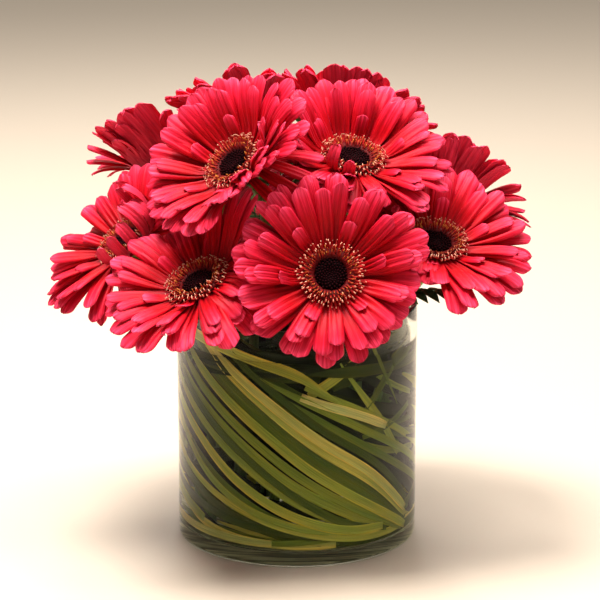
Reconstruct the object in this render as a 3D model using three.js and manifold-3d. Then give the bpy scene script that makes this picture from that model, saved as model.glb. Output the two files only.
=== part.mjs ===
// A dozen gerberas in a glass cylinder vase. The stems stand in water, and long strap leaves are
// coiled round the inside of the glass.
// Millimetres, +Z up. The origin is the centre of the vase's underside, and the front is towards -Y.

import * as THREE from 'three';
import { mergeVertices } from 'three/addons/utils/BufferGeometryUtils.js';
import Module from 'manifold-3d';

const wasm = await Module();
wasm.setup();

// Driving dimensions

const GAP = 0.3; // clearance between pieces that touch

const vase = {
  radius: 75,
  height: 150,
  wall: 3.5,
  base: 9,
  footRound: 3,
  rimRound: 1,
  sides: 40,
};

const water = { level: 128, radius: 66.4, sides: 40 };

const strap = { width: 6.2, thickness: 0.8, span: 14, tipLength: 30, tipShare: 0.2 };
// outer radius of the leaves that lie on the glass, and of those that cross behind them
const strapLayer = { glass: 70.8, second: 69.35, third: 67.9 };

const stem = {
  radius: 3,
  sides: 6,
  steps: 11,
  foot: vase.base + 1.4, // the end is square to a leaning stem, so its low corner is near the floor
  neck: 140, // height at which a stem leaves its straight line
  footSpread: 0.78, // distance of a stem's foot from the axis, as a part of its neck's
  twist: -38, // degrees that the feet are turned from the necks
  holeRadius: 3.95,
  launch: 0.3, // how far the curve above the neck keeps its first and its last direction
  arrive: 0.4,
};

// The head's own frame: z along its face from the top of the base that the petals grow from
const cup = {
  top: -3.5,
  topRadius: 13,
  waist: -10,
  waistRadius: 9.4,
  throat: -16,
  throatRadius: 3.6,
  tail: -20,
  tailRadius: 2.1,
  stemEnd: -13,
  sides: 8,
};
const collar = { radius: 16, bottom: -3.2, top: 0 };
const florets = {
  lobes: 12,
  innerRadius: 9.7,
  crownRadius: 10.1,
  seatRadius: 13.8,
  high: { radius: 20.8, height: 6.4, crown: 4.5 },
  low: { radius: 19.2, height: 4.6, crown: 3.2 },
};
const eye = {
  radius: 9.2,
  shoulder: 2.4,
  crownRadius: 6.6,
  crown: 4.4,
  dimpleRadius: 3,
  rim: 3.6,
  dimple: 3,
  sides: 8,
};

const petal = {
  rootRadius: 11.5,
  underFlorets: 10.5, // length that lies under the florets, where it can't bend
  shoulder: 0.68, // place of the widest part, along the length
  steepest: 90, // a petal that is pushed up any further would lean in over the florets
  root: { width: 4.6, keel: 0.8 },
  neck: { width: 7.6, keel: 1 },
  wide: { width: 12.8, keel: 1.5 },
  tip: { width: 6, keel: 0.8 },
};
const layers = [
  { count: 12, length: 50, start: -1.9, lift: 7, rise: 12, droop: -12 },
  { count: 10, length: 43, start: -0.6, lift: 13, rise: 23, droop: -6 },
];

// Where neighbouring heads crowd each other, a sloping wall parts them
const crowding = {
  reach: 128, // hubs further apart than this don't meet
  margin: 0.7,
  tilts: [10, 20, 30, 40, 45, 50, 55, 60, 65, 70, 75],
  shifts: [-8, -4, 0, 4, 8],
  directions: 24,
  bendStep: 6,
  bendDown: -60,
  bendUp: 84,
  vaseRoom: 1.5,
  stemRoom: 2.5,
  shorter: [1, 0.9, 0.8, 0.7, 0.6, 0.5], // lengths that a crowded petal may have, as parts of its own
  extraBends: [0, -5, 5, -10, 10, -16, 16],
  easyBend: 30, // degrees of bend, and of change from the neighbour, that cost as much as 1
  easyChange: 15,
  cutCost: 7, // what losing a petal's whole length costs
};

// Each head lies over those that come after it. hub: centre of the head; face: where it looks;
// neck: where its stem passes the vase's mouth, as distance from the axis and degrees from +X;
// lifted: the side of the head whose petals stand up, in degrees round it, and by how many degrees.
const heads = [
  { name: 'front', hub: [20, -85, 187], face: [0.02, -0.86, 0.51], neck: [57, -77] },
  {
    name: 'upper_left', hub: [-37, -35, 243], face: [-0.565, -0.44, 0.7], neck: [36, -137],
    lifted: [98, 36],
  },
  { name: 'upper_right', hub: [34, -25, 244], face: [0.17, -0.36, 0.91], neck: [34, -36], lifted: [95, 44] },
  { name: 'right', hub: [83.5, -40, 195], face: [0.17, -0.43, 0.885], neck: [59, -24], lifted: [110, 26] },
  {
    name: 'lower_left', hub: [-58, -75, 179], face: [-0.4, -0.33, 0.855], neck: [58, -128],
    lifted: [68, 30],
  },
  { name: 'far_left', hub: [-104, -14, 190], face: [-0.58, -0.27, 0.77], neck: [58, 185] },
  { name: 'top_right', hub: [29, 57, 246], face: [0.18, 0.4, 0.9], neck: [36, 50] },
  { name: 'top_left', hub: [-26, 54, 254], face: [-0.16, 0.36, 0.92], neck: [34, 120] },
  { name: 'right_back', hub: [90, 36, 209], face: [0.42, 0.28, 0.86], neck: [59, 15] },
  { name: 'left_back', hub: [-80, 52, 236], face: [-0.62, 0.12, 0.78], neck: [59, 160] },
  { name: 'back_right', hub: [50, 88, 194], face: [0.3, 0.75, 0.59], neck: [57, 60] },
  { name: 'back_left', hub: [-55, 85, 192], face: [-0.35, 0.75, 0.56], neck: [57, 124] },
];

// Strap leaves, each by places that it passes: degrees round the axis from the front towards +X,
// and height. They climb from the lower right to the upper left, and some run on round the back.
const leafRuns = [
  { layer: 'glass', places: [[66, 24], [38, 56], [11, 80], [-18, 108], [-50, 138]] },
  { layer: 'second', places: [[67, 16], [40, 44], [11, 69], [-18, 98], [-62, 139]] },
  { layer: 'glass', places: [[66, 13], [40, 33], [11, 57], [-18, 86], [-72, 136]] },
  { layer: 'second', places: [[54, 15], [30, 29], [0, 50], [-30, 77], [-88, 126]] },
  { layer: 'glass', places: [[47, 19], [26, 21], [0, 31], [-28, 50], [-58, 78], [-110, 118]] },
  { layer: 'third', places: [[150, 13], [90, 13], [30, 13], [0, 17], [-30, 27], [-90, 58], [-140, 84]] },
  { layer: 'third', places: [[18, 112], [32, 118], [52, 125], [80, 118], [120, 90]] },
  { layer: 'third', places: [[85, 66], [40, 84], [0, 108], [-40, 138]] },
];

const sprig = {
  neck: [57, -50],
  bend: [46, -45, 167],
  tip: [84, -52, 170],
  stemRadius: 1.3,
  holeRoom: 1.1,
  leaves: 12,
  leafLength: 13,
  leafWidth: 5,
  leafKeel: 1,
  leafRoot: [-1, 0.6], // how far along its own length, and half its width there
  leafTipHalf: 0.25,
  bareShare: 0.45, // the part of the twig above the mouth that has no leaves
  lean: 0.75, // how much a leaf points along the twig, against sideways
  raise: 0.25,
  sides: 5,
  steps: 10,
};

const finish = {
  glass: { color: 0xdfe8e2, roughness: 0.05, metalness: 0 },
  water: { color: 0x8a9a70, roughness: 0.05, metalness: 0 },
  strap: { color: 0x7c9a35, roughness: 0.5, metalness: 0 },
  petals: { color: 0xd81e45, roughness: 0.55, metalness: 0 },
  florets: { color: 0x9a4a2c, roughness: 0.7, metalness: 0 },
  eye: { color: 0x1c060b, roughness: 0.85, metalness: 0 },
  green: { color: 0x5f8f35, roughness: 0.6, metalness: 0 },
  sprig: { color: 0x1f4a22, roughness: 0.6, metalness: 0 },
};

// Small helpers

const UP = new THREE.Vector3(0, 0, 1);
const vector = (list) => new THREE.Vector3(...list);
const radians = THREE.MathUtils.degToRad;
const mix = THREE.MathUtils.lerp;

// The same row of numbers from 0 to 1 on every run
function seeded(seed) {
  let state = seed >>> 0;
  return () => {
    state = (state + 0x6d2b79f5) >>> 0;
    let n = Math.imul(state ^ (state >>> 15), state | 1);
    n ^= n + Math.imul(n ^ (n >>> 7), n | 61);
    return ((n ^ (n >>> 14)) >>> 0) / 4294967296;
  };
}

function solidOf(geometry) {
  const bare = geometry.clone();
  bare.deleteAttribute('normal');
  bare.deleteAttribute('uv');
  const merged = mergeVertices(bare, 1e-4);
  const corners = merged.index.array;
  const faces = [];
  for (let i = 0; i < corners.length; i += 3) {
    const [a, b, c] = corners.slice(i, i + 3);
    if (a !== b && b !== c && c !== a) faces.push(a, b, c);
  }
  const vertProperties = new Float32Array(merged.attributes.position.array);
  return new wasm.Manifold(new wasm.Mesh({ numProp: 3, vertProperties, triVerts: new Uint32Array(faces) }));
}

function geometryOf(solid) {
  const { vertProperties, triVerts } = solid.getMesh();
  const geometry = new THREE.BufferGeometry();
  geometry.setAttribute('position', new THREE.BufferAttribute(vertProperties, 3));
  geometry.setIndex(new THREE.BufferAttribute(triVerts, 1));
  geometry.computeVertexNormals();
  return geometry;
}

function joined(geometries) {
  const sum = geometries.map(solidOf).reduce((whole, part) => whole.add(part));
  return geometryOf(sum.simplify(0.01));
}

// A closed skin over rings of points, with both faces of a thin blade split alike
function loft(rings) {
  const size = rings[0].length;
  const points = rings.flat().flatMap((p) => [p.x, p.y, p.z]);
  const faces = [];
  for (let i = 0; i + 1 < rings.length; i++) {
    for (let k = 0; k < size; k++) {
      const a = i * size + k;
      const b = i * size + ((k + 1) % size);
      const c = b + size;
      const d = a + size;
      if (k < size / 2) faces.push(a, b, c, a, c, d);
      else faces.push(a, b, d, b, c, d);
    }
  }
  const last = (rings.length - 1) * size;
  for (let k = 1; k + 1 < size; k++) {
    faces.push(0, k + 1, k, last, last + k, last + k + 1);
  }
  const geometry = new THREE.BufferGeometry();
  geometry.setAttribute('position', new THREE.Float32BufferAttribute(points, 3));
  geometry.setIndex(faces);
  return geometry;
}

// A turned solid about z, from a profile of [radius, height] that rises outside
function turned(profile, sides) {
  const points = profile.map(([radius, height]) => new THREE.Vector2(radius, height));
  return new THREE.LatheGeometry(points, sides).rotateX(Math.PI / 2);
}

function tube(path, radius, sides, steps) {
  const section = new THREE.Shape();
  for (let k = 0; k < sides; k++) {
    const angle = (2 * Math.PI * k) / sides;
    section[k ? 'lineTo' : 'moveTo'](radius * Math.cos(angle), radius * Math.sin(angle));
  }
  return new THREE.ExtrudeGeometry(section, { extrudePath: path, steps, bevelEnabled: false });
}

function piece(name, geometry, look) {
  const mesh = new THREE.Mesh(geometry, new THREE.MeshStandardMaterial(look));
  mesh.name = name;
  return mesh;
}

// Vase and water

function quarterRound(centre, radius, fromDegrees, steps) {
  return Array.from({ length: steps + 1 }, (_, k) => {
    const angle = radians(fromDegrees + (90 * k) / steps);
    return [centre[0] + radius * Math.cos(angle), centre[1] + radius * Math.sin(angle)];
  });
}

function vaseGeometry() {
  const { radius, height, wall, base, footRound, rimRound, sides } = vase;
  const inside = radius - wall;
  const profile = [
    [0, 0],
    ...quarterRound([radius - footRound, footRound], footRound, -90, 2),
    ...quarterRound([radius - rimRound, height - rimRound], rimRound, 0, 1),
    ...quarterRound([inside + rimRound, height - rimRound], rimRound, 90, 1),
    [inside, base],
    [0, base],
  ];
  return turned(profile, sides);
}

// Every stem's straight lower part keeps its place among the others from the floor to the mouth
function placeAt(neck, height) {
  const [distance, degrees] = neck;
  const part = (height - stem.foot) / (stem.neck - stem.foot);
  const top = new THREE.Vector2(distance, 0);
  const axis = new THREE.Vector2();
  const bottom = top.clone().multiplyScalar(stem.footSpread).rotateAround(axis, radians(stem.twist));
  const place = bottom.lerp(top, part).rotateAround(axis, radians(degrees));
  return new THREE.Vector3(place.x, place.y, height);
}

function waterGeometry() {
  const { level, radius, sides } = water;
  const bottom = vase.base + GAP;
  let body = solidOf(turned([[0, bottom], [radius, bottom], [radius, level], [0, level]], sides));
  const reach = 6;
  const hole = (neck, holeRadius) => {
    const line = new THREE.LineCurve3(placeAt(neck, bottom - reach), placeAt(neck, level + reach));
    return solidOf(tube(line, holeRadius, stem.sides, 1));
  };
  for (const head of heads) body = body.subtract(hole(head.neck, stem.holeRadius));
  body = body.subtract(hole(sprig.neck, sprig.stemRadius + sprig.holeRoom));
  return geometryOf(body);
}

// Strap leaves

function strapLeafGeometry(run) {
  const outer = strapLayer[run.layer];
  const inner = outer - strap.thickness;
  const course = new THREE.CatmullRomCurve3(run.places.map(([degrees, height]) => {
    return new THREE.Vector3(radians(degrees) * outer, height, 0);
  }));
  const length = course.getLength();
  const spans = Math.ceil(length / strap.span);
  const onGlass = (along, height, radius) => {
    const angle = along / outer;
    return new THREE.Vector3(radius * Math.sin(angle), -radius * Math.cos(angle), height);
  };
  const rings = [];
  for (let i = 0; i <= spans; i++) {
    const middle = course.getPointAt(i / spans);
    const ahead = course.getTangentAt(i / spans);
    const fromTip = length * (1 - i / spans);
    const half = (strap.width / 2) * Math.min(1, mix(strap.tipShare, 1, fromTip / strap.tipLength));
    const side = new THREE.Vector2(ahead.y, -ahead.x).multiplyScalar(half);
    const edges = [1, -1].map((sign) => [middle.x - sign * side.x, middle.y - sign * side.y]);
    rings.push([
      onGlass(...edges[0], outer),
      onGlass(...edges[1], outer),
      onGlass(...edges[1], inner),
      onGlass(...edges[0], inner),
    ]);
  }
  return loft(rings);
}

// Stems and cups

function stemPath(head) {
  const foot = placeAt(head.neck, stem.foot);
  const neck = placeAt(head.neck, stem.neck);
  const end = head.hub.clone().addScaledVector(head.face, cup.stemEnd);
  const span = neck.distanceTo(end);
  const upward = neck.clone().sub(foot).normalize();
  const path = new THREE.CurvePath();
  path.add(new THREE.LineCurve3(foot, neck));
  path.add(new THREE.CubicBezierCurve3(
    neck,
    neck.clone().addScaledVector(upward, span * stem.launch),
    end.clone().addScaledVector(head.face, -span * stem.arrive),
    end,
  ));
  return path;
}

function stemGeometry(head) {
  const bell = turned([
    [0, cup.tail],
    [cup.tailRadius, cup.tail],
    [cup.throatRadius, cup.throat],
    [cup.waistRadius, cup.waist],
    [cup.topRadius, cup.top],
    [0, cup.top],
  ], cup.sides);
  bell.applyMatrix4(head.frame);
  return joined([tube(stemPath(head), stem.radius, stem.sides, stem.steps), bell]);
}

// Crowded heads: a petal bends up or down until it is clear of the walls, the vase and the stems

// Points that a head would like to fill: [radius, height] in its own frame, and how much each matters
const wishes = [
  { at: [florets.high.radius, florets.high.height], weight: 30 },
  { at: [cup.topRadius, cup.top], weight: 30 },
  { at: [cup.throatRadius, cup.tail], weight: 10 },
  { at: [petal.rootRadius + petal.underFlorets, 3], weight: 10 },
  { at: [38, 6], weight: 4, underWeight: 0.5 },
  { at: [55, 8], weight: 3, underWeight: 0.2 },
];

function wishedPoints(head) {
  return wishes.flatMap(({ at: [radius, height], weight, underWeight = weight }) => {
    return Array.from({ length: crowding.directions }, (_, k) => {
      const turn = (2 * Math.PI * k) / crowding.directions;
      const point = new THREE.Vector3(radius * Math.cos(turn), radius * Math.sin(turn), height);
      return { point: point.applyMatrix4(head.frame), weights: [weight, underWeight] };
    });
  });
}

// The wall leans over the lower head, by the slope that leaves both heads the most of their room
function wallBetween(over, under) {
  const across = over.hub.clone().sub(under.hub).normalize();
  const lift = over.face.clone().add(under.face);
  lift.addScaledVector(across, -lift.dot(across)).normalize();
  const middle = over.hub.clone().add(under.hub).multiplyScalar(0.5);
  const loss = (points, wall, rank) => points.reduce((sum, { point, weights }) => {
    const height = point.dot(wall.normal) - wall.level;
    const depth = crowding.margin - (rank === 0 ? height : -height);
    return sum + weights[rank] * Math.max(0, depth);
  }, 0);
  let best = { cost: Infinity };
  for (const degrees of crowding.tilts) {
    const tilt = radians(degrees);
    const normal = across.clone().multiplyScalar(Math.cos(tilt)).addScaledVector(lift, Math.sin(tilt));
    for (const shift of crowding.shifts) {
      const wall = { normal, level: middle.dot(normal) + shift };
      const cost = loss(over.wished, wall, 0) + loss(under.wished, wall, 1);
      if (cost < best.cost) best = { ...wall, cost };
    }
  }
  return best;
}

function wallsOf(head) {
  const walls = [];
  heads.forEach((other, rank) => {
    if (other === head || head.hub.distanceTo(other.hub) > crowding.reach) return;
    const isOver = heads.indexOf(head) < rank;
    const { normal, level } = isOver ? wallBetween(head, other) : wallBetween(other, head);
    const sign = isOver ? 1 : -1;
    walls.push({ normal: normal.clone().multiplyScalar(sign), level: level * sign });
  });
  return walls;
}

function isClear(point, walls, stemPoints) {
  if (walls.some((wall) => point.dot(wall.normal) - wall.level < crowding.margin)) return false;
  const overVase = Math.hypot(point.x, point.y) < vase.radius + crowding.vaseRoom;
  if (overVase && point.z < vase.height + crowding.vaseRoom) return false;
  return !stemPoints.some((place) => place.distanceTo(point) < stem.radius + crowding.stemRoom);
}

// Petals

// The three-cornered sections of one petal in the head's own frame: two edges and a keel below
function petalRings(layer, turn, length, rise, bend) {
  const { root, neck, wide, tip } = petal;
  const climb = Math.min(rise + bend, petal.steepest);
  const stations = [
    { run: petal.underFlorets, angle: layer.lift, ...root },
    { run: petal.shoulder * length - petal.underFlorets, angle: climb, ...neck },
    { run: (1 - petal.shoulder) * length, angle: climb + layer.droop, ...wide },
    { run: 0, angle: climb + layer.droop, ...tip },
  ];
  const out = new THREE.Vector3(Math.cos(turn), Math.sin(turn), 0);
  const right = new THREE.Vector3(Math.sin(turn), -Math.cos(turn), 0);
  const middle = out.clone().multiplyScalar(petal.rootRadius).addScaledVector(UP, layer.start);
  return stations.map(({ run, angle, width, keel }) => {
    const slope = radians(angle);
    const along = out.clone().multiplyScalar(Math.cos(slope)).addScaledVector(UP, Math.sin(slope));
    const below = out.clone().multiplyScalar(Math.sin(slope)).addScaledVector(UP, -Math.cos(slope));
    const ring = [
      middle.clone().addScaledVector(right, -width / 2),
      middle.clone().addScaledVector(right, width / 2),
      middle.clone().addScaledVector(below, keel),
    ];
    middle.addScaledVector(along, run);
    return ring;
  });
}

function isFree(head, rings) {
  const free = rings.slice(1).map((ring) => ring.map((p) => p.clone().applyMatrix4(head.frame)));
  return free.every((ring, i) => ring.every((p, k) => {
    const before = i ? p.clone().add(free[i - 1][k]).multiplyScalar(0.5) : p;
    return isClear(p, head.walls, head.stemPoints) && isClear(before, head.walls, head.stemPoints);
  }));
}

// How far the petals would bend in one direction round a head with nothing near them
function liftAt(head, turn) {
  const [side, degrees] = head.lifted ?? [0, 0];
  return degrees * Math.max(0, Math.cos(turn - radians(side)));
}

// How far petals bend in each direction round a head. Neighbouring directions bend nearly alike, so
// the layers stay in order: the cheapest way round, where bending, changing and being cut short cost.
function bendsRound(head) {
  const { directions, bendStep, bendDown, bendUp } = crowding;
  const bends = [];
  for (let bend = bendDown; bend <= bendUp; bend += bendStep) bends.push(bend);
  const price = [];
  for (let d = 0; d < directions; d++) {
    const turn = (2 * Math.PI * d) / directions;
    price.push(bends.map((bend) => {
      const reach = crowding.shorter.find((cut) => layers.every((layer) => {
        return isFree(head, petalRings(layer, turn, layer.length * cut, layer.rise, bend));
      })) ?? 0;
      const change = Math.abs(bend - liftAt(head, turn));
      return change / crowding.easyBend + crowding.cutCost * (1 - reach);
    }));
  }
  let cost = bends.map(() => 0);
  const from = [];
  for (let step = 0; step < 3 * directions; step++) {
    const next = bends.map((bend, i) => {
      const ways = bends.map((last, j) => cost[j] + ((bend - last) / crowding.easyChange) ** 2);
      const best = ways.indexOf(Math.min(...ways));
      return { best, cost: ways[best] + price[step % directions][i] };
    });
    from.push(next.map((way) => way.best));
    cost = next.map((way) => way.cost);
  }
  let at = cost.indexOf(Math.min(...cost));
  const round = new Array(directions);
  for (let step = from.length - 1; step >= directions; step--) {
    if (step < 2 * directions) round[step % directions] = bends[at];
    at = from[step][at];
  }
  return round;
}

function bendAt(round, turn) {
  const place = (turn / (2 * Math.PI) + 2) * round.length;
  const index = Math.floor(place);
  return mix(round[index % round.length], round[(index + 1) % round.length], place - index);
}

function fittedPetal(head, layer, turn, length, rise) {
  const bend = bendAt(head.bends, turn);
  for (const cut of crowding.shorter) {
    for (const extra of crowding.extraBends) {
      const rings = petalRings(layer, turn, length * cut, rise, bend + extra);
      if (isFree(head, rings)) return loft(rings);
    }
  }
  return null;
}

function petalsGeometry(head, seed) {
  const random = seeded(seed);
  const vary = (amount) => (random() - 0.5) * 2 * amount;
  const { radius, bottom, top } = collar;
  // each petal of the outer layer leaves the base through one flat side
  const base = turned([[0, bottom], [radius, bottom], [radius, top], [0, top]], layers[0].count);
  base.rotateZ(Math.PI / layers[0].count);
  const blades = [];
  layers.forEach((layer, level) => {
    for (let k = 0; k < layer.count; k++) {
      const turn = (2 * Math.PI * (k + 0.5 * level)) / layer.count + radians(vary(3));
      const length = layer.length * (1 + vary(0.04));
      const blade = fittedPetal(head, layer, turn, length, layer.rise + vary(4));
      if (blade) blades.push(blade);
    }
  });
  return joined([base, ...blades]);
}

// Disc florets: a low ring of lobes round the eye, each curving out over the petals' roots
function floretsGeometry() {
  const { lobes, innerRadius, crownRadius, seatRadius, high, low } = florets;
  const count = lobes * 2;
  const points = [];
  const faces = [];
  for (let i = 0; i < count; i++) {
    const angle = (2 * Math.PI * i) / count;
    const { radius, height, crown } = i % 2 ? low : high;
    const section = [[innerRadius, GAP], [crownRadius, crown], [radius, height], [seatRadius, GAP]];
    for (const [r, z] of section) points.push(r * Math.cos(angle), r * Math.sin(angle), z);
  }
  const size = 4;
  for (let i = 0; i < count; i++) {
    const here = i * size;
    const next = ((i + 1) % count) * size;
    for (let k = 0; k < size; k++) {
      const n = (k + 1) % size;
      faces.push(here + k, here + n, next + n, here + k, next + n, next + k);
    }
  }
  const geometry = new THREE.BufferGeometry();
  geometry.setAttribute('position', new THREE.Float32BufferAttribute(points, 3));
  geometry.setIndex(faces);
  return geometry;
}

function eyeGeometry() {
  const { radius, shoulder, crownRadius, crown, dimpleRadius, rim, dimple, sides } = eye;
  const side = [[0, GAP], [radius, GAP], [radius, shoulder]];
  const crater = [[crownRadius, crown], [dimpleRadius, rim], [0, dimple]];
  return turned([...side, ...crater], sides);
}

// Sprig: a thin stem out of the vase's mouth with small pointed leaves in two rows
function sprigGeometry() {
  const foot = placeAt(sprig.neck, stem.foot);
  const neck = placeAt(sprig.neck, stem.neck);
  const bend = vector(sprig.bend);
  const tip = vector(sprig.tip);
  const path = new THREE.CurvePath();
  path.add(new THREE.LineCurve3(foot, neck));
  path.add(new THREE.QuadraticBezierCurve3(neck, bend, tip));
  const twig = path.curves[1];
  const solids = [tube(path, sprig.stemRadius, sprig.sides, sprig.steps)];
  for (let k = 0; k < sprig.leaves; k++) {
    const part = mix(sprig.bareShare, 1, k / (sprig.leaves - 1));
    const root = twig.getPoint(part);
    const ahead = twig.getTangent(part);
    const sideways = ahead.clone().cross(UP).normalize().multiplyScalar(k % 2 ? 1 : -1);
    const along = ahead.clone().multiplyScalar(sprig.lean).add(sideways);
    along.addScaledVector(UP, sprig.raise).normalize();
    const right = along.clone().cross(UP).normalize();
    const above = right.clone().cross(along);
    const widest = [0.4 * sprig.leafLength, sprig.leafWidth / 2];
    const shape = [sprig.leafRoot, widest, [sprig.leafLength, sprig.leafTipHalf]];
    solids.push(loft(shape.map(([run, half]) => {
      const middle = root.clone().addScaledVector(along, run);
      return [
        middle.clone().addScaledVector(right, -half),
        middle.clone().addScaledVector(right, half),
        middle.clone().addScaledVector(above, -sprig.leafKeel * Math.min(1, half)),
      ];
    })));
  }
  return joined(solids);
}

// Assembly

const bouquet = new THREE.Group();

for (const head of heads) {
  head.hub = vector(head.hub);
  head.face = vector(head.face).normalize();
  const turn = new THREE.Quaternion().setFromUnitVectors(UP, head.face);
  head.frame = new THREE.Matrix4().compose(head.hub, turn, new THREE.Vector3(1, 1, 1));
  head.wished = wishedPoints(head);
}
const allStemPoints = heads.flatMap((head) => stemPath(head).getSpacedPoints(90));
for (const head of heads) {
  head.walls = wallsOf(head);
  head.stemPoints = allStemPoints;
  head.bends = bendsRound(head);
}

bouquet.add(piece('vase', vaseGeometry(), finish.glass));
bouquet.add(piece('water', waterGeometry(), finish.water));
leafRuns.forEach((run, k) => {
  bouquet.add(piece(`strap_leaf_${k + 1}`, strapLeafGeometry(run), finish.strap));
});
bouquet.add(piece('sprig', sprigGeometry(), finish.sprig));

heads.forEach((head, rank) => {
  bouquet.add(piece(`${head.name}_stem`, stemGeometry(head), finish.green));
  const bloom = new THREE.Group();
  bloom.position.copy(head.hub);
  bloom.quaternion.setFromUnitVectors(UP, head.face);
  bloom.add(piece(`${head.name}_petals`, petalsGeometry(head, 101 + rank), finish.petals));
  bloom.add(piece(`${head.name}_florets`, floretsGeometry(), finish.florets));
  bloom.add(piece(`${head.name}_eye`, eyeGeometry(), finish.eye));
  bouquet.add(bloom);
});

export default bouquet;
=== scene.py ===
# The looks of a dozen gerberas in a glass cylinder vase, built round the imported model.
# Lengths in this script are millimetres, and Skin.piece turns them into metres.
# The front is towards -Y, and the origin is the centre of the vase's underside.
import math
import random

import bpy
import numpy as np
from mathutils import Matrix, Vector


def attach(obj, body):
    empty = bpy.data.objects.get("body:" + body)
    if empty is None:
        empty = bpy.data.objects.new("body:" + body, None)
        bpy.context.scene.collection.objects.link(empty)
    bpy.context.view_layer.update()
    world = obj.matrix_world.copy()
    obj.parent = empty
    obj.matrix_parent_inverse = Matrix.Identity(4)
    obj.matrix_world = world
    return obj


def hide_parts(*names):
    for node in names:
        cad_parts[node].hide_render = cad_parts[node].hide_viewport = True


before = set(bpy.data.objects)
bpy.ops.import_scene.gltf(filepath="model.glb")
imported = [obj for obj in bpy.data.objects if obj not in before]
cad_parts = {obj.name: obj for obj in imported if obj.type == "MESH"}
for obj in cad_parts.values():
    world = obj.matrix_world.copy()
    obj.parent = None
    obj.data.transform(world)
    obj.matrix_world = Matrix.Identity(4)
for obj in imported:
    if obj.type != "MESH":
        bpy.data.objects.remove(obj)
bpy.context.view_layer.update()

MM = 0.001
BODY = "root"
CIRCLE = 2 * math.pi
UP = np.array([0.0, 0.0, 1.0])

# Driving dimensions, most of them the same as the solids' own

VASE = {"radius": 75.0, "height": 150.0, "wall": 3.5, "base": 9.0, "foot_round": 3.0, "rim_round": 1.2,
        "inner_round": 3.0, "hollow": 0.4}
WATER_LEVEL = 128.0
STEM = {"radius": 3.0, "foot": 10.4, "neck": 140.0, "foot_spread": 0.78, "twist": -38.0,
        "launch": 0.3, "arrive": 0.4}
CUP = {"top": -3.5, "top_radius": 13.0, "throat_radius": 3.6, "tail": -20.0, "stem_end": -13.0}
FLORET_RING = {"radius": 20.8, "height": 6.4}
PETAL = {"root_radius": 11.5, "under_florets": 10.5, "steepest": 90.0, "thickness": 0.36}
SOLID_LAYERS = (
    {"length": 50.0, "start": -1.9, "lift": 7.0, "rise": 12.0, "droop": -12.0},
    {"length": 43.0, "start": -0.6, "lift": 13.0, "rise": 23.0, "droop": -6.0},
)

# The petals that show: the same two layers, each in two rows that lie one over the other, and a few
# short ones of the inner layer that stand up beside the florets
ROWS = [dict(zip(("layer", "count", "turn", "start", "rise", "length", "width"), row)) for row in (
    (0, 16, 0.0, -2.4, 8.0, 51.0, 12.8),
    (0, 15, 0.5, -1.7, 13.0, 50.0, 12.2),
    (1, 14, 0.2, -1.0, 19.0, 46.0, 11.2),
    (1, 12, 0.7, -0.4, 25.0, 41.0, 10.0),
    (1, 6, 0.4, 0.0, 38.0, 25.0, 8.0))]

# Petals that curl in over the florets, or hang: direction round the head, length, rise and curl
CURLED = {
    "upper_right": ((238, 31, 62, 88), (262, 25, 58, 60), (205, 50, -24, -20), (222, 50, -30, -20),
                    (188, 50, -16, -20)),
    "far_left": ((-66, 33, 66, 80), (-42, 40, 70, 86), (-22, 36, 64, 98), (-4, 43, 72, 74), (20, 38, 68, 92),
                 (44, 41, 70, 72), (-88, 31, 62, 74), (-110, 28, 58, 66), (64, 34, 64, 70)),
    "upper_left": ((330, 26, 52, 40), (352, 30, 58, 34), (292, 52, -26, -16), (308, 52, -34, -16),
                   (324, 50, -34, -16), (340, 48, -28, -16)),
    "right": ((196, 32, 60, 60), (222, 29, 56, 54), (170, 30, 62, 48)),
    "lower_left": ((34, 50, 38, -10), (48, 53, 42, -10), (62, 54, 46, -10), (22, 55, 44, -10),
                   (41, 58, 47, -12), (28, 57, 50, -14), (55, 58, 50, -14)),
    "front": ((122, 51, 24, -8), (138, 51, 26, -8)),
}

# How crowded petals give way: room to keep, the walls and bends to try, and what bending and cutting cost
CROWDING = {"reach": 128.0, "margin": 0.7, "vase_room": 1.5, "stem_room": 2.5, "near": 8,
            "tilts": (10, 20, 30, 40, 45, 50, 55, 60, 65, 70, 75), "shifts": (-8, -4, 0, 4, 8),
            "directions": 24, "bends": range(-60, 85, 6), "shorter": (1, 0.9, 0.8, 0.7, 0.6, 0.5),
            "easy_bend": 30, "easy_change": 15, "cut_cost": 7}
FINE_FIT = {"margin": 0.35, "vase_room": 0.8, "stem_room": 1.2,
            "shorter": (1, 0.94, 0.88, 0.8, 0.7, 0.6, 0.5),
            "extra_bends": (0, -4, 4, -8, 8, -13, 13, -19, 19)}

# name, hub, face, and neck as distance from the axis and degrees from +X
HEADS = (
    ("front", (20, -85, 187), (0.02, -0.86, 0.51), (57, -77)),
    ("upper_left", (-37, -35, 243), (-0.565, -0.44, 0.7), (36, -137)),
    ("upper_right", (34, -25, 244), (0.17, -0.36, 0.91), (34, -36)),
    ("right", (83.5, -40, 195), (0.17, -0.43, 0.885), (59, -24)),
    ("lower_left", (-58, -75, 179), (-0.4, -0.33, 0.855), (58, -128)),
    ("far_left", (-104, -14, 190), (-0.58, -0.27, 0.77), (58, 185)),
    ("top_right", (29, 57, 246), (0.18, 0.4, 0.9), (36, 50)),
    ("top_left", (-26, 54, 254), (-0.16, 0.36, 0.92), (34, 120)),
    ("right_back", (90, 36, 209), (0.42, 0.28, 0.86), (59, 15)),
    ("left_back", (-80, 52, 236), (-0.62, 0.12, 0.78), (59, 160)),
    ("back_right", (50, 88, 194), (0.3, 0.75, 0.59), (57, 60)),
    ("back_left", (-55, 85, 192), (-0.35, 0.75, 0.56), (57, 124)),
)

# The side of a head whose petals stand up, in degrees round it, and by how many degrees
LIFTED = {"upper_left": (98, 36), "upper_right": (95, 44), "right": (110, 26), "lower_left": (68, 30)}

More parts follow.
